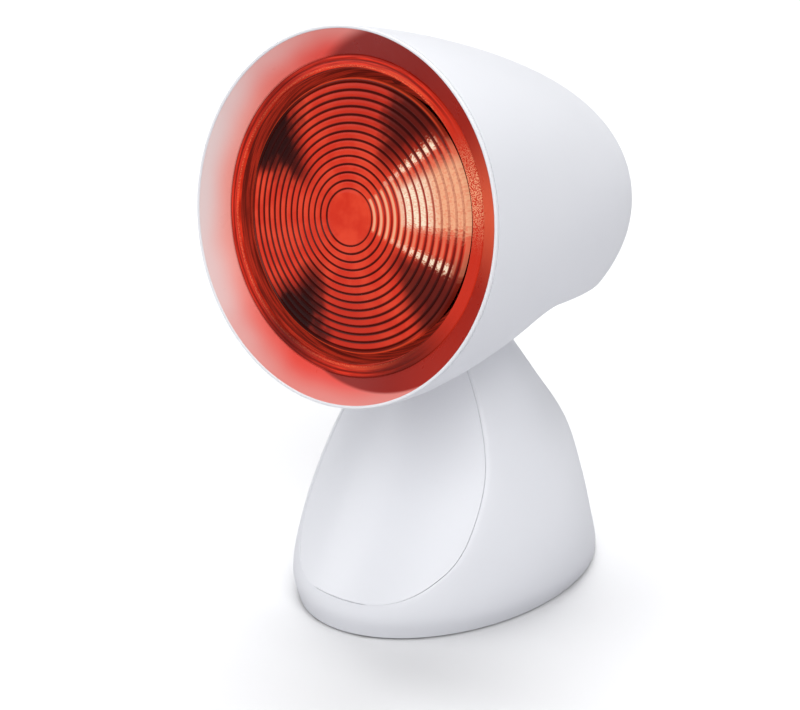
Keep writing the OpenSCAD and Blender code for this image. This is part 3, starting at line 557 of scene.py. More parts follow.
@dataclass(frozen=True)
class PaintedReflectionCollar(Finish):
    """Glossy ring with the red bulb's reflection painted on: a painted highlight on a mottled seam, painted
    shade in the middle groove and at the outer edge.
    """

    inner_r: float
    outer_r: float

    def make(self) -> bpy.types.Material:
        """Builds the material: painted reflection in streaked deep red, with painted highlights and painted
        shade, by radius and angle.
        """
        made, g, bsdf = shader(self.name)
        axes = SharedGroups.use(g, "lamp_axes")
        radius, angle, place = (axes.outputs[n] for n in ("Radius", "Angle", "Place"))
        turn = g.math("ABSOLUTE", angle)
        # Painted reflection of the red bulb: streaked deep red.
        streak = g.noise(g.around(radius, angle, 1.6, 5.0), 1.0, 4.0)
        base = g.mix(g.band(streak, 0.36, 0.64), rgba(230, 54, 32), rgba(176, 34, 20))
        # Painted highlight: a mottled bright seam along the rolled bead.
        highlight_mottle = g.band(g.noise(place, 1.8, 4.0), 0.42, 0.6)
        seam = g.math("MULTIPLY", g.near(radius, self.inner_r + 0.7, 0.8), highlight_mottle)
        base = g.mix(seam, base, rgba(240, 104, 66))
        # Painted shade in the fine groove and at the outer edge.
        base = g.mix(g.math("MULTIPLY", g.near(radius, self.inner_r + 3.2, 0.9), 0.7), base, rgba(92, 12, 8))
        base = g.mix(g.math("MULTIPLY", g.band(radius, self.outer_r - 1.5, self.outer_r - 0.4), 0.7), base,
                     rgba(112, 14, 9))
        # Painted shade at the lower left and the upper left.
        shade = g.math("MULTIPLY", g.near(angle, -2.0, 0.55), 0.75)
        shade = g.math("MAXIMUM", shade, g.math("MULTIPLY", g.near(angle, 2.45, 0.6), 0.45))
        base = g.mix(shade, base, rgba(72, 12, 10))
        # Painted highlight on the bead towards the top and bottom.
        bright = g.math("MULTIPLY", g.near(turn, 1.25, 0.4), g.near(radius, self.inner_r + 1.6, 1.0))
        base = g.mix(g.math("MULTIPLY", bright, 0.6), base, rgba(240, 92, 58))
        # Painted reflection: a plainer red towards the right.
        base = g.mix(g.band(turn, 1.1, 0.7), base, rgba(200, 48, 30))
        # Painted shade at the lower right.
        base = g.mix(g.math("MULTIPLY", g.near(angle, -0.95, 0.6), 0.8), base, rgba(84, 22, 15))
        # Painted highlight: a peach mottle to the right, where the bright wedge shows in the ring.
        tone = g.mix(g.math("MULTIPLY", g.near(angle, 0.36, 0.42), highlight_mottle), base, rgba(248, 168, 128))
        # The whole ring shows its painted reflection to the camera as emission.
        painted_glow(g, bsdf, tone, 1.0, 0.3, 0.75)
        bsdf.inputs["Roughness"].default_value = 0.22
        bsdf.inputs["Specular IOR Level"].default_value = 0.12
        return made


@dataclass(frozen=True)
class RingedGlass(Finish):
    """Pressed red glass lit from behind: rings with painted shade in their grooves, four painted shadows on
    the diagonals and a bright wedge of painted reflection.
    """

    pitch: float
    first: float
    last: float

    def shadows(self, g: Graph, radius: Socket, angle: Socket, cloud: Socket) -> Socket:
        """Painted shadows: four dark patches a quarter turn apart, wider towards the edge.

        Args:
            g: the material's Graph.
            radius: distance from the axis.
            angle: angle round it.
            cloud: slow noise that frays them.
        """
        spoke = g.math("COSINE", g.math("MULTIPLY_ADD", g.math("SUBTRACT", angle, 1.11), 4.0,
                                        g.math("MULTIPLY", g.math("SUBTRACT", cloud, 0.5), 1.6)))
        grown = g.math("MULTIPLY_ADD", radius, 0.018, spoke)
        patch = g.math("MULTIPLY", g.band(grown, 0.95, 1.85), g.band(radius, 22.0, 36.0))
        left = g.band(g.math("ABSOLUTE", angle), 1.3, 2.0, 0.86, 1.0)
        return g.math("MULTIPLY", patch, left)

    def wedge(self, g: Graph, radius: Socket, angle: Socket, phase: Socket, place: Socket) -> tuple[Socket,
                                                                                                    Socket]:
        """Painted reflection: a bright wedge to the right, bars between the grooves, dashes along its two
        edges.

        Args:
            g: the material's Graph.
            radius: distance from the axis.
            angle: angle round it.
            phase: place within a ring, 0 and 1 at the grooves.
            place: not used.

        Returns:
            How bright it is, and how far it goes from peach to white.
        """
        centre = g.math("ABSOLUTE", g.math("SUBTRACT", phase, 0.5))
        narrow, broad = g.band(centre, 0.26, 0.1), g.band(centre, 0.44, 0.28)
        outward = g.band(radius, 40.0, 52.0)
        bars = g.math("MAXIMUM", broad, g.math("MULTIPLY", outward, 0.62))
        # Noise that frays the painted reflection's edges and varies its strength.
        grain = g.band(g.noise(g.around(radius, angle, 0.9, 60.0), 1.0, 3.0), 0.3, 0.6)
        frayed = g.math("MULTIPLY_ADD", g.math("SUBTRACT", grain, 0.5), 0.05, angle)
        block = g.math("MULTIPLY", g.near(frayed, 0.37, 0.4), 2.6)
        block = g.math("MULTIPLY", g.math("MINIMUM", block, 1.0), g.band(radius, 26.0, 31.0))
        block = g.math("MULTIPLY", g.math("MULTIPLY", block, bars), g.math("MULTIPLY_ADD", grain, 0.35, 0.65))
        thin = g.math("MULTIPLY", g.band(g.math("ABSOLUTE", g.math("SUBTRACT", frayed, 0.28)), 0.56, 0.46),
                      narrow)
        thin = g.math("MULTIPLY", thin,
                      g.math("MULTIPLY", g.band(radius, 11.0, 13.0), g.band(radius, 40.0, 26.0, 0.25, 0.9)))
        low, high = g.near(frayed, -0.21, 0.075), g.near(frayed, 0.83, 0.075)
        dashes = g.math("MULTIPLY", g.math("MAXIMUM", low, high), g.band(centre, 0.36, 0.2))
        reach = g.math("MULTIPLY", g.band(radius, 22.5, 25.0), g.band(radius, 57.5, 55.0))
        dashes = g.math("MULTIPLY", dashes, g.math("MULTIPLY", reach, g.band(radius, 24.0, 40.0, 0.5, 1.0)))
        white = g.math("MAXIMUM", g.math("MULTIPLY", block, g.band(radius, 50.0, 38.0)), dashes)
        return g.math("MAXIMUM", g.math("MAXIMUM", block, thin), dashes), white

    def make(self) -> bpy.types.Material:
        """Builds the material from the radius and angle round the lamp's axis."""
        made, g, bsdf = shader(self.name)
        axes = SharedGroups.use(g, "lamp_axes")
        radius, angle, place = (axes.outputs[n] for n in ("Radius", "Angle", "Place"))
        cloud = g.noise(place, 0.1, 3.0)
        phase = g.math("FRACT", g.math("DIVIDE", g.math("SUBTRACT", radius, self.first), self.pitch))
        away = g.math("MINIMUM", phase, g.math("SUBTRACT", 1.0, phase))
        turn = g.math("ABSOLUTE", angle)
        line = g.band(away, g.math("MULTIPLY_ADD", g.band(radius, 20.0, 56.0), 0.08, 0.2), 0.09)
        ringed = g.math("MULTIPLY", g.band(radius, self.first - 0.8, self.first),
                        g.band(radius, self.last + 0.6, self.last))
        base = g.mix(g.band(cloud, 0.35, 0.7), rgba(214, 52, 32), rgba(230, 70, 45))
        # Painted shade: a little darker towards the top and bottom.
        base = g.mix(g.math("MULTIPLY", g.near(turn, 1.57, 0.9), g.band(radius, 20.0, 50.0)), base,
                     rgba(196, 46, 29))
        # Painted shadows: four dark patches on the diagonals.
        shadow = self.shadows(g, radius, angle, cloud)
        tone = g.mix(shadow, base, rgba(44, 12, 11))
        # Painted shade along the grooves: thin dark lines, wider towards the edge.
        tone = g.mix(g.math("MULTIPLY", g.math("MULTIPLY", line, ringed), 0.93), tone, rgba(52, 9, 7))
        light, white = self.wedge(g, radius, angle, phase, place)
        # Painted highlight on the right: there the grooves' painted shade turns to red lines.
        clear = g.math("MULTIPLY", g.near(angle, 0.3, 0.75), g.band(radius, 12.0, 16.0))
        tone = g.mix(g.math("MULTIPLY", clear, 0.8), tone, g.mix(line, rgba(228, 66, 44), rgba(176, 34, 22)))
        # Painted reflection: the bright wedge, peach to white.
        tone = g.mix(light, tone, g.mix(white, rgba(246, 178, 138), rgba(255, 236, 208)))
        # Painted shade in the gap round the glass's rolled edge, away from the right, broken by a red line on
        # the roll.
        edge = g.math("MULTIPLY", g.band(radius, self.last - 0.2, self.last + 0.5), g.band(turn, 0.7, 1.0))
        tone = g.mix(g.math("MULTIPLY", edge, 0.8), tone,
                     g.mix(g.near(radius, self.last + 1.4, 0.6), rgba(50, 8, 6), rgba(214, 70, 40)))
        painted_glow(g, bsdf, tone, 1.0, 0.15, 0.85)
        bsdf.inputs["Roughness"].default_value = 0.2
        bsdf.inputs["Specular IOR Level"].default_value = 0.1
        return made


class Tone(Enum):
    """The lamp's plain finishes."""

    SHELL = MouldedPlastic("white_satin_shell", (242, 243, 247), 0.33, 0.2, 0.8)
    INNER = MouldedPlastic("grey_white_inner", (222, 224, 229), 0.5, 0.4, 1.4)
    SWITCH = MouldedPlastic("switch_gloss", (228, 230, 235), 0.2, 0.2, 0.5, 0.3)
    CERAMIC = MouldedPlastic("holder_ceramic", (232, 226, 214), 0.25, 0.5, 0.6, 0.4)
    VITRITE = MouldedPlastic("cap_vitrite", (30, 28, 28), 0.2, 0.1, 0.3)
    FIBRE = MouldedPlastic("washer_fibre", (60, 58, 56), 0.8, 0.6, 2.0)
    RUBBER = MouldedPlastic("foot_rubber", (58, 59, 62), 0.85, 0.5, 2.2)
    STEEL = PlatedMetal("zinc_steel", (196, 198, 203), 0.24, 0.12)
    BRASS = PlatedMetal("brass", (206, 176, 110), 0.2, 0.3)
    SOLDER = PlatedMetal("solder", (176, 178, 184), 0.35, 0.2)
    FILAMENT = PlatedMetal("filament_wire", (150, 140, 124), 0.4, 0.3)


# ---------------------------------------------------------------- head
@dataclass(frozen=True)
class Head:
    """Shade, liner, collar and bulb, with the sizes of the real lamp in millimetres."""

    mouth_r: float = 83.5
    length: float = 185.0
    taper: float = 1.38
    blunt: float = 2.865
    wall: float = 2.4
    parting: float = 0.5
    scoop_drop: float = 30.5
    scoop_corner: float = 67.5
    scoop_slope: float = 34.0
    scoop_fillet: float = 40.0
    scoop_band: float = 16.0
    scoop_flare: float = 26.0
    flare_end: float = 80.0
    lip_t: float = 1.5
    lip_w: float = 1.2
    liner_wall: float = 1.4
    step_r: float = 70.9
    step_depth: float = 9.4
    flange_r: float = 39.0
    flange_t: float = 2.4
    bosses: tuple[float, ...] = (-90.0, 14.0, 166.0)
    boss_front: float = 28.0
    boss_r: float = 4.0
    lug_front: float = 44.5
    lug_t: float = 3.0
    bracket_x: float = 34.5
    collar_r: float = 65.1
    collar_front: float = 7.7
    collar_back: float = 8.5
    bulb_r: float = 60.6
    bulb_air: float = 4.0
    dome_r: float = 330.0
    dome_depth: float = 5.4
    glass: float = 3.4
    rings: int = 13
    plain_r: float = 12.5
    groove: float = 0.7
    parabola: float = 84.0
    neck_r: float = 21.0
    neck_end: tuple[float, float, float] = (15.9, 103.5, 106.0)
    bowl_wall: float = 2.2

    @property
    def edge_r(self) -> float:
        """Radius where the dome ends and its rolled edge begins."""
        return self.bulb_r - 0.6

    @property
    def zone_r(self) -> float:
        """Radius of the outermost groove."""
        return self.edge_r - 1.2

    @property
    def pitch(self) -> float:
        """Width of a ring."""
        return (self.zone_r - self.plain_r) / self.rings

    @property
    def seam(self) -> float:
        """Depth where the front glass meets the reflector."""
        return float(self.dome(np.array(self.edge_r))) + 3.2

    @property
    def neck_depth(self) -> float:
        """Depth where the reflector has narrowed to its neck."""
        return self.seam + self.parabola * (1 - (self.neck_r / self.bulb_r) ** 2)

    @property
    def boss_orbit(self) -> float:
        """Distance of the liner's screw bosses from the axis."""
        return float(self.bowl(np.array(self.boss_front))) + self.bulb_air + self.liner_wall + 1.3

    def dome(self, radius: np.ndarray) -> np.ndarray:
        """Depth of the domed glass at a radius: a sphere of the dome's radius."""
        return self.dome_depth + self.dome_r - np.sqrt(self.dome_r**2 - radius**2)

    def bowl(self, depth: np.ndarray) -> np.ndarray:
        """Radius of the reflector at a depth, r = R sqrt(1 - (d - seam) / p), and R before the seam."""
        return self.bulb_r * np.sqrt(1 - np.clip(depth - self.seam, 0, None) / self.parabola)

    def bullet(self, depth: np.ndarray, inset: float) -> np.ndarray:
        """Radius of the bullet at a depth.

        r = R (1 - (d / L)^taper)^(1 / blunt), with R and L less the inset.

        Args:
            depth: depths behind the mouth.
            inset: distance inside the outer skin.

        Returns:
            The radii.
        """
        share = np.clip(depth / (self.length - inset), 0, 1) ** self.taper
        return (self.mouth_r - inset) * np.clip(1 - share, 0, None) ** (1 / self.blunt)

    def cut(self, depth: np.ndarray) -> np.ndarray:
        """Drop of the underside cut at a depth: flat, round fillet, slope, then a flare down to the band.

        Args:
            depth: depths behind the mouth, past the band.

        Returns:
            The drops below the axis.
        """
        slope = math.radians(self.scoop_slope)
        start = self.scoop_corner + self.scoop_fillet * math.tan(slope / 2)
        end = start - self.scoop_fillet * math.sin(slope)
        reach = np.clip((start - depth) / self.scoop_fillet, 0, math.sin(slope))
        fillet = self.scoop_drop + self.scoop_fillet * (1 - np.sqrt(1 - reach**2))
        straight = fillet + np.clip(end - depth, 0, None) * math.tan(slope)
        low = self.scoop_drop + (self.scoop_corner - self.scoop_flare) * math.tan(slope)
        bend = (self.scoop_flare - self.scoop_band) / (
            math.sin(math.radians(self.flare_end)) - math.sin(slope))
        lean = np.clip((self.scoop_flare - depth) / bend + math.sin(slope), -1, 1)
        flare = low + bend * (math.cos(slope) - np.sqrt(1 - lean**2))
        return np.where(depth < self.scoop_flare, flare, straight)

    def edge_angle(self, depth: np.ndarray, inset: float) -> np.ndarray:
        """Angle from the top at which the cut meets the skin, pi where it doesn't.

        Args:
            depth: depths behind the mouth.
            inset: distance inside the outer skin.

        Returns:
            The angles in radians.
        """
        radius = np.maximum(self.bullet(depth, inset), 1e-6)
        return np.arccos(np.clip(-self.cut(depth) / radius, -1, 1))

    def closing_depth(self, inset: float) -> float:
        """Depth at which the skin is as narrow as the flat cut is low."""
        share = 1 - (self.scoop_drop / (self.mouth_r - inset)) ** self.blunt
        return (self.length - inset) * share ** (1 / self.taper)

    def shade(self) -> bpy.types.Object:
        """Builds the shade: an outer and an inner bullet, open underneath, joined by flat rims.

        Rows run along the depth and columns round the shade. Behind the band the columns spread
        over the part that the cut leaves, and the rims are strips between the two skins.

        Returns:
            The object.
        """
        skin = Skin()
        thin, thick = self.closing_depth(self.wall), self.closing_depth(0)
        ring = np.linspace(self.lip_t + self.parting, self.scoop_band, 10)
        body = np.concatenate([self.scoop_band + (self.scoop_flare - self.scoop_band) * np.linspace(0, 1,
                                                                                                    16) ** 2,
                               np.linspace(self.scoop_flare, thin, 90)[1:]])
        across = np.linspace(-1, 1, 161)
        body = body[body < thin - 1e-6]
        body = np.append(body, thin)
        last = np.append(thin + (thick - thin) * np.linspace(0, 1, 8)[1:-1], thick)

        def sheet(depth: np.ndarray, turn: np.ndarray, inset: float) -> np.ndarray:
            """Grid of points at each depth and angle from the top."""
            radius = self.bullet(depth, inset)[:, None]
            return np.stack([radius * np.sin(turn), -radius * np.cos(turn), depth[:, None] + 0 * turn],
                            axis=-1)

        for inset in (0.0, self.wall):
            tip = self.length - inset
            start = self.edge_angle(np.array([self.scoop_band]), inset)[0]
            chin = np.linspace(start, 2 * np.pi - start, 25)
            skin.add(AXIS.place(sheet(ring, np.tile(across * start, (len(ring), 1)), inset)))
            skin.add(AXIS.place(sheet(ring, np.tile(chin, (len(ring), 1)), inset)))
            rows = np.concatenate([body, last]) if inset == 0 else body
            skin.add(AXIS.place(sheet(rows, across * self.edge_angle(rows, inset)[:, None], inset)))
            begin = rows[-1]
            tail = begin + (tip - begin) * np.sin(np.linspace(0, np.pi / 2, 40))
            skin.add(AXIS.place(sheet(tail, np.tile(across * np.pi, (len(tail), 1)), inset)))
        for side in (-1, 1):
            rows = np.concatenate([body, last])
            outer = self.rim(rows, 0.0)
            inner = self.rim(rows, self.wall)
            skin.add(AXIS.place(np.stack([outer, inner], axis=1) * np.array([side, 1, 1])))
        start = [self.edge_angle(np.array([self.scoop_band]), inset)[0] for inset in (0.0, self.wall)]
        self.joint(skin, float(ring[0]), [across * a for a in start])
        self.joint(skin, float(ring[0]), [np.linspace(a, 2 * np.pi - a, 25) for a in start])
        self.joint(skin, self.scoop_band, [np.linspace(a, 2 * np.pi - a, 25) for a in start])
        self.lugs(skin)
        return skin.build("shade_skin")

    def rim(self, depth: np.ndarray, inset: float) -> np.ndarray:
        """Points of the cut's edge on a skin: half width, drop and depth."""
        radius, drop = self.bullet(depth, inset), self.cut(depth)
        half = np.sqrt(np.clip(radius**2 - drop**2, 0, None))
        return np.stack([half, drop, depth], axis=-1)

    def joint(self, skin: Skin, depth: float, turns: list[np.ndarray]) -> None:
        """Adds a flat strip at one depth between the outer and the inner skin.

        Args:
            skin: where it goes.
            depth: the depth.
            turns: angles from the top on the outer and on the inner skin.
        """
        radii = [float(self.bullet(np.array(depth), inset)) for inset in (0.0, self.wall)]
        edges = [np.stack([r * np.sin(t), -r * np.cos(t), depth + 0 * t], axis=-1) for r,
                 t in zip(radii, turns)]
        skin.add(AXIS.place(np.stack(edges, axis=0)))

    def lugs(self, skin: Skin) -> None:
        """Adds the three inner lugs that the liner's screws pull on, as short plates."""
        reach = float(self.bullet(np.array([self.lug_front]), self.wall)[0]) + 1.2
        for turn in np.radians(self.bosses):
            block(skin, np.array([self.boss_orbit - 6, -6, self.lug_front]),
                  np.array([reach, 6, self.lug_front + self.lug_t]), turn)

    def liner(self) -> bpy.types.Object:
        """Builds the liner: thin rounded lip, sloping inner wall, step and funnel, with its screw bosses.

        Returns:
            The object.
        """
        skin = Skin()
        lip, begin = self.mouth_r - 0.1, self.mouth_r - self.lip_w + 0.25
        turn = np.radians(np.linspace(0, 90, 6))
        nose = np.stack([lip - 0.5 + 0.5 * np.cos(turn), 0.5 - 0.5 * np.sin(turn)], axis=1)
        lead = np.stack([begin - 0.5 * np.sin(turn), 0.5 - 0.5 * np.cos(turn)], axis=1)
        down = np.linspace(0, 1, 24)[1:, None]
        wall = lead[-1] + (np.array([self.step_r, self.collar_back]) - lead[-1]) * down
        front = self.neck_depth - 2
        depth = np.linspace(self.step_depth, front, 40)
        funnel = np.stack([self.bowl(depth) + self.bulb_air, depth], axis=1)
        back = np.array([[funnel[-1, 0], front + self.flange_t], [self.flange_r, front + self.flange_t],
                         [self.flange_r, front]])
        outer = np.stack([funnel[::-1, 0] + self.liner_wall,
                          np.maximum(depth[::-1], self.step_depth + self.liner_wall)], axis=1)
        rim = self.mouth_r - self.wall - 0.3
        rest = np.array([[self.step_r + self.liner_wall, self.step_depth + self.liner_wall],
                         [rim, self.lip_t + 1.6], [rim, self.lip_t], [lip, self.lip_t]])
        step = np.array([[self.step_r, self.step_depth]])
        AXIS.lathe(skin, np.concatenate([nose, lead, wall, step, funnel, back, outer, rest]), 224)
        for turn in np.radians(self.bosses):
            spot = np.array([self.boss_orbit * math.cos(turn), self.boss_orbit * math.sin(turn),
                             self.boss_front])
            rod(skin, spot, self.boss_r, self.lug_front - self.boss_front)
        for side in (-1, 1):
            rod(skin, np.array([self.bracket_x * side, 0.0, front - 8]), self.boss_r, 8 + self.flange_t - 0.1)
        return skin.build("liner_skin")

    def collar(self) -> bpy.types.Object:
        """Builds the collar: a ring with a rolled inner bead, two faces and a fine groove between them."""
        skin = Skin()
        turn = np.radians(np.linspace(180, 300, 9))
        bead = np.stack([self.collar_r + 0.7 + 0.7 * np.cos(turn),
                         self.collar_front + 0.7 + 0.7 * np.sin(turn)], axis=1)
        share = np.linspace(0, 1, 25)[1:]
        radius = bead[-1, 0] + (self.step_r - 0.6 - bead[-1, 0]) * share
        dip = 0.22 * np.exp(-(((radius - self.collar_r - 3.2) / 0.5) ** 2))
        depth = bead[-1, 1] + (self.collar_back - bead[-1, 1]) * share + dip
        face = np.stack([radius, depth], axis=1)
        base = np.array([[self.step_r - 0.3, self.step_depth], [self.collar_r, self.step_depth]])
        AXIS.lathe(skin, np.concatenate([bead, face, base]), 224)
        return skin.build("collar_ring")

    def lens(self) -> bpy.types.Object:
        """Builds the front glass: plain middle, rounded rings with sharp grooves, rolled edge.

        Each ring is a low arch, groove deep, between two grooves one pitch apart.

        Returns:
            The object.
        """
        skin = Skin()
        middle = np.linspace(0, self.plain_r - 1.0, 10)
        share = np.tile(np.linspace(0, 1, 9)[:-1], self.rings)
        radius = self.plain_r + (np.repeat(np.arange(self.rings), 8) + share) * self.pitch
        arch = self.groove * (2 * share - 1) ** 4
        turn = np.radians(np.linspace(0, 90, 7))
        corner = self.bulb_r - 1.3
        roll = np.stack([corner + 1.3 * np.sin(turn),
                         float(self.dome(np.array(self.edge_r))) + 1.3 * (1 - np.cos(turn))],
                        axis=1)
        rim = np.array([[self.bulb_r, self.seam - 0.3], [self.bulb_r - self.glass, self.seam - 0.3]])
        back = np.linspace(self.bulb_r - self.glass, 0, 8)
        profile = [np.stack([middle, self.dome(middle)], axis=1),
                   np.stack([radius, self.dome(radius) + arch], axis=1),
                   np.array([[self.zone_r, float(self.dome(np.array(self.zone_r))) + self.groove]]), roll,
                   rim,
                   np.stack([back, self.dome(back) + self.glass + self.groove], axis=1)]
        AXIS.lathe(skin, np.concatenate(profile), 256, closed=False)
        return skin.build("ringed_glass", 50)

    def reflector(self) -> bpy.types.Object:
        """Builds the bulb's reflector glass: a paraboloid bowl that runs into its neck."""
        skin = Skin()
        depth = np.linspace(self.seam, self.neck_depth, 40)
        radius, front, back = self.neck_end
        outer = np.concatenate([np.stack([self.bowl(depth), depth], axis=1),
                                [[radius, front], [radius, back]]])
        within = np.stack([self.bowl(depth) - self.bowl_wall, depth], axis=1)[::-1]
        inner = np.concatenate([[[radius - self.bowl_wall, back], [radius - self.bowl_wall, front]], within])
        AXIS.lathe(skin, np.concatenate([outer, inner]), 160)
        return skin.build("reflector_glass")

    def dress(self) -> None:
        """Builds every piece of the head and seats it."""
        red = MouldedPlastic("reflector_red", (150, 40, 30), 0.18, 0.5, 0.2, 0.5)
        white = PaintedLightLiner("liner_painted_light", self.step_r, self.mouth_r - self.lip_w - 0.3, self.step_depth,
                             self.seam,
                             self.bulb_r, self.bulb_air, self.parabola)
        shade = self.shade()
        soften(shade, 0.35)
        seat(shade, "head", "white_shell", Tone.SHELL.value, "shade_shell")
        seat(self.liner(), "head", "white_liner", white, "shade_liner")
        seat(self.collar(), "head", "collar_red", PaintedReflectionCollar("collar_painted_reflection", self.collar_r, self.step_r),
             "reflector_collar")
        seat(self.lens(), "head", "red_glass",
             RingedGlass("ringed_red_glass", self.pitch, self.plain_r, self.zone_r), "bulb_lens")
        seat(self.reflector(), "head", "reflector_glass", red, "bulb_reflector")


def block(skin: Skin, low: np.ndarray, high: np.ndarray, turn: float) -> None:
    """Adds a block in lamp axes, turned round the axis.

    Args:
        skin: where it goes.
        low: its lowest corner.
        high: its highest corner.
        turn: the angle in radians.
    """
    c, s = math.cos(turn), math.sin(turn)
    spin = np.array([[c, s, 0], [-s, c, 0], [0, 0, 1]])
    x, y = np.array([low[0], high[0], high[0], low[0]]), np.array([low[1], low[1], high[1], high[1]])
    middle = (low + high) / 2
    rows = [(0, low[2]), (1, low[2]), (1, high[2]), (0, high[2])]
    grid = np.stack([np.stack([middle[0] + (x - middle[0]) * k, middle[1] + (y - middle[1]) * k, 0 * x + z],
                              axis=-1)
                     for k, z in rows])
    skin.add(AXIS.place(grid @ spin), wrap=True)


def rod(skin: Skin, start: np.ndarray, radius: float, length: float) -> None:
    """Adds a closed rod along the depth.

    Args:
        skin: where it goes.
        start: middle of its front end, in lamp axes.
        radius: its radius.
        length: its length.
    """
    turn = np.linspace(0, 2 * np.pi, 24, endpoint=False)
    rows = [(0.0, 0.0), (radius, 0.0), (radius, length), (0.0, length)]
    grid = np.stack([start + np.stack([r * np.cos(turn), r * np.sin(turn), 0 * turn + z], axis=-1) for r,
                     z in rows])
    skin.add(AXIS.place(grid), wrap=True)


# ---------------------------------------------------------------- foot
@dataclass
class Foot:
    """Hollow shell and front cover of the foot, with its stations in millimetres."""

    height: float = 126.0
    wall: float = 2.4
    floor_gap: float = 1.2
    cover_z: float = 15.0
    cover_t: float = 2.4
    cover_bow: float = 52.5
    cover_gap: float = 0.3
    edge: float = 1.2
    inlet_z: float = 14.0
    port_r: float = 8.5
    stations: tuple[float, ...] = (0, 12, 30, 50, 75, 100, 126)
    half_w: tuple[float, ...] = (60, 65, 66, 63, 54.5, 40.5, 23.5)
    front: tuple[float, ...] = (86, 87, 77.5, 65, 51, 42, 32.5)
    rear: tuple[float, ...] = (86, 77, 67.5, 61, 54, 37.5, 20.8)
    face_z: tuple[float, ...] = (15, 30, 50, 75, 100, 126)
    face_y: tuple[float, ...] = (86.2, 75.7, 62.2, 45.7, 31.7, 20.5)

    @property
    def start_z(self) -> float:
        """Height where the flat front face begins."""
        return self.cover_z + 1.4

    @staticmethod
    def blend(z: np.ndarray, knots: tuple[float, ...], values: tuple[float, ...]) -> np.ndarray:
        """Smooth curve through stations: cubic Hermite spans whose slopes join the neighbours.

        Args:
            z: heights.
            knots: the stations' heights.
            values: the stations' values.

        Returns:
            The values at z.
        """
        k, v = np.asarray(knots, float), np.asarray(values, float)
        low, high = np.maximum(np.arange(len(k)) - 1, 0), np.minimum(np.arange(len(k)) + 1, len(k) - 1)
        slope = (v[high] - v[low]) / (k[high] - k[low])
        i = np.clip(np.searchsorted(k, z, side="right") - 1, 0, len(k) - 2)
        h = k[i + 1] - k[i]
        t = (z - k[i]) / h
        return (v[i] * (1 + 2 * t) * (1 - t) ** 2 + h * slope[i] * t * (1 - t) ** 2
                + v[i + 1] * t**2 * (3 - 2 * t) - h * slope[i + 1] * t**2 * (1 - t))

    def bow(self, z: np.ndarray) -> np.ndarray:
        """Half the face's curvature at a height."""
        return 1 / (2 * (self.cover_bow + 0.14 * (z - self.cover_z)))

    def face(self, z: np.ndarray, x: np.ndarray, inset: float) -> np.ndarray:
        """y of the front face: a parabola across, its middle on the face's own curve."""
        return -(self.blend(z, self.face_z, self.face_y) - inset) + self.bow(z) * x**2

    def crease(self, z: np.ndarray, wall_in: float, face_in: float) -> np.ndarray:
        """Half width at which the face meets the wall's ellipse, from the quadratic in x squared.

        Args:
            z: heights.
            wall_in: inset of the wall.
            face_in: inset of the face.

        Returns:
            The half widths.
        """
        w = self.blend(z, self.stations, self.half_w) - wall_in
        f = self.blend(z, self.stations, self.front) - wall_in
        y, k = self.blend(z, self.face_z, self.face_y) - face_in, self.bow(z) * w**2
        b, c = f * f - 2 * y * k, y * y - f * f
        root = np.sqrt(np.clip(b * b - 4 * k * k * c, 0, None))
        return w * np.sqrt(np.clip((root - b) / (2 * k * k), 0, 0.999))

    def loops(self, z: np.ndarray, faced: np.ndarray, inside: bool) -> np.ndarray:
        """Closed outlines of the foot, one per height.

        Each runs round the elliptical wall from crease to crease and back over the face.

        Args:
            z: heights.
            faced: True where the outline has the flat front face.
            inside: True for the hollow.

        Returns:
            An array (heights, points, 3).
        """
        wall_in = self.wall if inside else 0.0
        seat_in = self.cover_t + 0.2
        face_in = seat_in + (self.wall if inside else 0.0)
        level = np.where(faced, z, self.start_z)
        half = np.maximum(1.2, self.crease(level, wall_in, face_in if inside else 0.0))
        w = self.blend(z, self.stations, self.half_w) - wall_in
        f = self.blend(z, self.stations, self.front) - wall_in
        b = self.blend(z, self.stations, self.rear) - wall_in
        a0 = np.arccos(half / w)[:, None]
        turn = -a0 + (np.pi + 2 * a0) * np.linspace(0, 1, 221)
        reach = np.where(np.sin(turn) > 0, b[:, None], f[:, None])
        wall = np.stack([w[:, None] * np.cos(turn), reach * np.sin(turn), z[:, None] + 0 * turn], axis=-1)
        inner = (half - (0.0 if inside else self.edge))[:, None]
        x = inner * np.linspace(-1, 1, 61)
        y_face = self.face(z[:, None], x, face_in)
        y_wall = -f[:, None] * np.sqrt(np.clip(1 - (x / w[:, None]) ** 2, 0, None))
        lip = 0 if inside else 1
        y = np.where(faced[:, None], y_face, y_wall)
        front = np.stack([x, y, z[:, None] + 0 * x], axis=-1)
        if lip:
            y_ends = np.where(faced[:, None],
                              self.face(z[:, None], np.stack([-inner[:, 0], inner[:, 0]], axis=1), 0.0),
                              y_wall[:, [0, -1]])
            ends = np.stack([np.stack([-inner[:, 0], inner[:, 0]], axis=1), y_ends,
                             np.repeat(z[:, None], 2, axis=1)], axis=-1)
            front = np.concatenate([ends[:, :1], front, ends[:, 1:]], axis=1)
        return np.concatenate([wall, front], axis=1) + np.array([0, CENTRE_Y, 0])

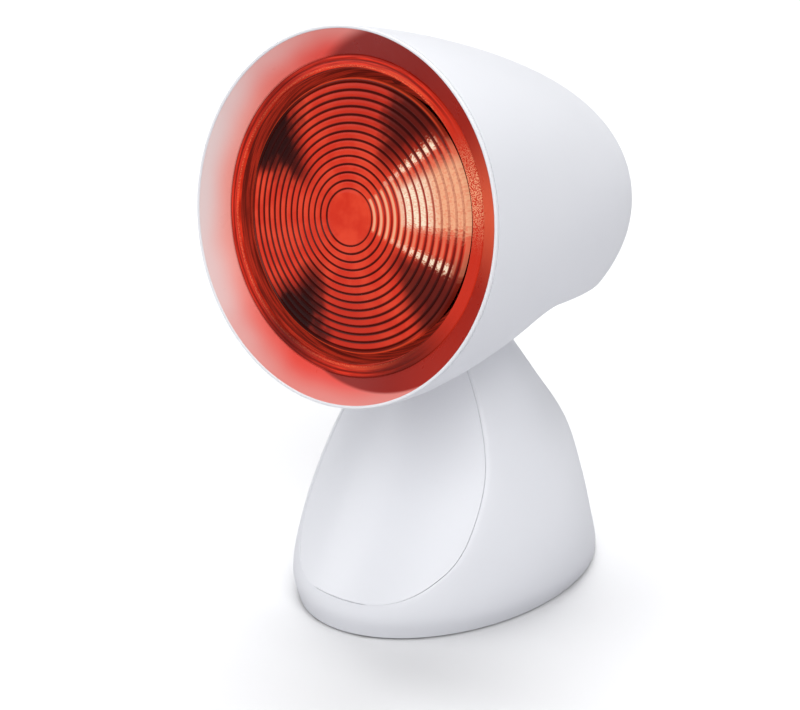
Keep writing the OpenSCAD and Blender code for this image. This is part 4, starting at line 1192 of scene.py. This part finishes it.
    def shell(self) -> bpy.types.Object:
        """Builds the shell: outlines stacked outside and inside, with rounded rims, and the inlet port."""
        skin = Skin()
        low = np.array([self.floor_gap, 1.6, 2.4, 4, 6, 8, 10, 12, 13.5, 15, self.start_z - 0.1])
        high = self.start_z + (self.height - self.start_z) * np.linspace(0, 1, 110) ** 1.5
        z = np.concatenate([low, high])
        faced = np.concatenate([np.zeros(len(low), bool), np.ones(len(high), bool)])
        outer = self.loops(z, faced, False)
        coarse = np.concatenate([np.arange(0, len(z), 3), [len(low) - 1, len(low), len(z) - 1]])
        coarse = np.unique(coarse)
        inner = self.loops(z[coarse], faced[coarse], True)
        skin.add(outer, wrap=True)
        skin.add(inner, wrap=True)
        for row_out, row_in in ((0, 0), (-1, -1)):
            a, b = outer[row_out], inner[row_in]
            wall_a, wall_b = a[:221], b[:221]
            skin.add(np.stack([wall_a, wall_b]))
            front_b = b[221:]
            front_a = a[221:]
            pad_b = np.concatenate([front_b[:1], front_b, front_b[-1:]])
            skin.add(np.stack([front_a, pad_b]))
            skin.add(np.stack([np.stack([a[220], front_a[0]]), np.stack([b[220], pad_b[0]])]))
            skin.add(np.stack([np.stack([front_a[-1], a[0]]), np.stack([pad_b[-1], b[0]])]))
        self.port(skin)
        return skin.build("foot_shell", 28)

    def port(self, skin: Skin) -> None:
        """Adds the moulded cord port at the back: a short tube with a flared root.

        Args:
            skin: where it goes.
        """
        reach = float(self.blend(np.array([self.inlet_z]), self.stations, self.rear)[0]) + 5
        turn = np.linspace(0, 2 * np.pi, 64, endpoint=False)
        bend = np.radians(np.linspace(0, 90, 7))
        root = np.stack([self.port_r + 2.2 - 2.2 * np.sin(bend), reach - 5.6 + 2.2 - 2.2 * np.cos(bend)],
                        axis=1)
        lip = np.stack([self.port_r - 0.7 + 0.7 * np.cos(bend), reach - 0.7 + 0.7 * np.sin(bend)], axis=1)
        profile = np.concatenate([[[6.0, reach - 12], [self.port_r, reach - 12],
                                   [self.port_r + 2.2, reach - 5.6]],
                                  root, lip, [[6.0, reach]]])
        profile = np.concatenate([profile, profile[:1]])
        r, y = profile[:, 0, None], profile[:, 1, None]
        grid = np.stack([r * np.cos(turn), y + 0 * turn + CENTRE_Y, self.inlet_z + r * np.sin(turn)], axis=-1)
        skin.add(grid, wrap=True)

    def cover(self) -> bpy.types.Object:
        """Builds the front cover: the face as a bowed plate, narrower than the crease by edge and groove."""
        skin = Skin()
        start = self.start_z + self.cover_gap
        z = start + (self.height - start) * np.linspace(0, 1, 110) ** 1.5
        half = np.maximum(1.2, self.crease(z, 0, 0)) - self.edge - self.cover_gap
        half = np.maximum(half, 0.4)
        x = half[:, None] * np.linspace(-1, 1, 61)
        sides = [np.stack([x, self.face(z[:, None], x, inset), z[:, None] + 0 * x],
                          axis=-1) + np.array([0, CENTRE_Y, 0])
                 for inset in (0.0, self.cover_t)]
        for side in sides:
            skin.add(side)
        for pick in ((slice(None), 0), (slice(None), -1), (0, slice(None)), (-1, slice(None))):
            skin.add(np.stack([sides[0][pick], sides[1][pick]]))
        return skin.build("foot_cover", 28)

    def dress(self) -> None:
        """Builds the foot's pieces and seats them."""
        shell = self.shell()
        soften(shell, 0.3)
        seat(shell, "foot", "white_shell", Tone.SHELL.value, "base_shell")
        cover = self.cover()
        soften(cover, 0.35)
        seat(cover, "foot", "white_shell", Tone.SHELL.value, "front_cover")


# ---------------------------------------------------------------- carried-over pieces
CAD_FINISHES: dict[Tone, tuple[str, ...]] = {
    Tone.SHELL: ("underside_cover", "floor_plate"),
    Tone.INNER: ("support_column", "cord_clamp", "terminal_block"),
    Tone.SWITCH: ("switch_body", "switch_rocker", "cord_gland"),
    Tone.CERAMIC: ("lampholder_body",),
    Tone.VITRITE: ("cap_insulator",),
    Tone.FIBRE: ("friction_washers",),
    Tone.RUBBER: ("rubber_feet",),
    Tone.BRASS: ("bulb_cap", "lampholder_sleeve", "lampholder_contact", "terminal_screws", "switch_tabs"),
    Tone.SOLDER: ("cap_contact",),
    Tone.FILAMENT: ("bulb_filament",),
    Tone.STEEL: ("liner_screws", "lampholder_bracket", "bracket_screws", "underside_screws", "tilt_axle",
                 "axle_nut", "detent_ball", "detent_spring", "detent_screw", "front_cover_screws",
                 "column_screws", "floor_screws", "clamp_screws"),
}


def dress_solids(nodes: dict[str, bpy.types.Object]) -> None:
    """Gives every CAD piece that stays its finish.

    Args:
        nodes: the CAD objects by name.
    """
    for tone, names in CAD_FINISHES.items():
        for name in names:
            mesh = nodes[name].data
            mesh.materials.clear()
            mesh.materials.append(tone.value.material())
            log.info("%s is finished as %s", name, tone.value.name)


# ---------------------------------------------------------------- studio
@dataclass
class Studio:
    """Camera at the photograph's angle, plain soft light and a white floor."""

    azimuth: float = 38.62
    elevation: float = 22.293
    distance: float = 1300.0
    target: tuple[float, float, float] = (0.0, -42.044, 121.167)
    focal_px: float = 2861.39
    frame_px: tuple[int, int] = (800, 710)

    def camera(self) -> None:
        """Places the camera and makes it the scene's."""
        az, el = math.radians(self.azimuth), math.radians(self.elevation)
        away = np.array([math.sin(az) * math.cos(el), -math.cos(az) * math.cos(el), math.sin(el)])
        made = bpy.data.cameras.new("camera")
        made.sensor_width = 36.0
        made.sensor_fit = "HORIZONTAL"
        made.lens = self.focal_px * 36.0 / self.frame_px[0]
        made.clip_end = 50.0
        spot = bpy.data.objects.new("camera", made)
        bpy.context.scene.collection.objects.link(spot)
        spot.location = (np.array(self.target) + self.distance * away) * MM
        spot.rotation_euler = (math.pi / 2 - el, 0.0, az)
        bpy.context.scene.camera = spot

    def lamp(self, name: str, azimuth: float, elevation: float, spread: float, power: float) -> None:
        """Adds a broad, even light from far away.

        Args:
            name: its name.
            azimuth: direction in degrees, 0 in front and 90 to the right.
            elevation: height in degrees.
            spread: its width in the sky in degrees, so how soft its shadows are.
            power: its strength in watts a square metre.
        """
        made = bpy.data.lights.new(name, "SUN")
        made.angle = math.radians(spread)
        made.energy = power
        spot = bpy.data.objects.new(name, made)
        bpy.context.scene.collection.objects.link(spot)
        spot.rotation_euler = (math.pi / 2 - math.radians(elevation), 0.0, math.radians(azimuth))

    def world(self) -> None:
        """Makes the world a pale light that the camera sees as white, also through clear pieces."""
        world = bpy.data.worlds.new("studio")
        bpy.context.scene.world = world
        world.use_nodes = True
        g = Graph(world.node_tree)
        ground = world.node_tree.nodes["Background"]
        ground.inputs["Color"].default_value = (0.97, 0.98, 1.0, 1.0)
        ground.inputs["Strength"].default_value = 0.28
        seen = g.node("ShaderNodeBackground")
        seen.inputs["Color"].default_value = (1.0, 1.0, 1.0, 1.0)
        seen.inputs["Strength"].default_value = 1.0
        path = g.node("ShaderNodeLightPath")
        direct = g.math("MAXIMUM", path.outputs["Is Camera Ray"], path.outputs["Is Transmission Ray"])
        pick = g.node("ShaderNodeMixShader")
        g.feed(pick.inputs[0], direct)
        g.feed(pick.inputs[1], ground.outputs[0])
        g.feed(pick.inputs[2], seen.outputs[0])
        g.feed(world.node_tree.nodes["World Output"].inputs[0], pick.outputs[0])

    def floor(self) -> None:
        """Lays a white floor that keeps the lamp's soft shadow."""
        skin = Skin()
        side = np.linspace(-6000, 6000, 3)
        x, y = np.meshgrid(side, side)
        skin.add(np.stack([x, y, 0 * x - 0.02], axis=-1))
        piece = skin.build("floor")
        made, g, bsdf = shader("white_floor")
        seen = g.node("ShaderNodeLightPath").outputs["Is Camera Ray"]
        g.feed(bsdf.inputs["Base Color"], g.mix(seen, (0.52, 0.52, 0.54, 1.0), (0.85, 0.85, 0.86, 1.0)))
        bsdf.inputs["Roughness"].default_value = 0.9
        bsdf.inputs["Specular IOR Level"].default_value = 0.1
        piece.data.materials.append(made)

    def build(self) -> None:
        """Builds the camera, the floor and the lights."""
        self.camera()
        self.world()
        self.floor()
        self.lamp("key", -145, 66, 45, 2.2)
        self.lamp("fill", 48, 42, 50, 1.65)
        self.lamp("side", -50, 32, 40, 0.65)
        bpy.context.scene.view_settings.view_transform = "Standard"


def main() -> None:
    """Builds the lamp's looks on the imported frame."""
    logging.basicConfig(level=logging.INFO, format="%(name)s: %(message)s")
    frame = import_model()
    Studio().build()
    dress_solids(frame["nodes"])
    Head().dress()
    Foot().dress()


if __name__ == "__main__":
    main()
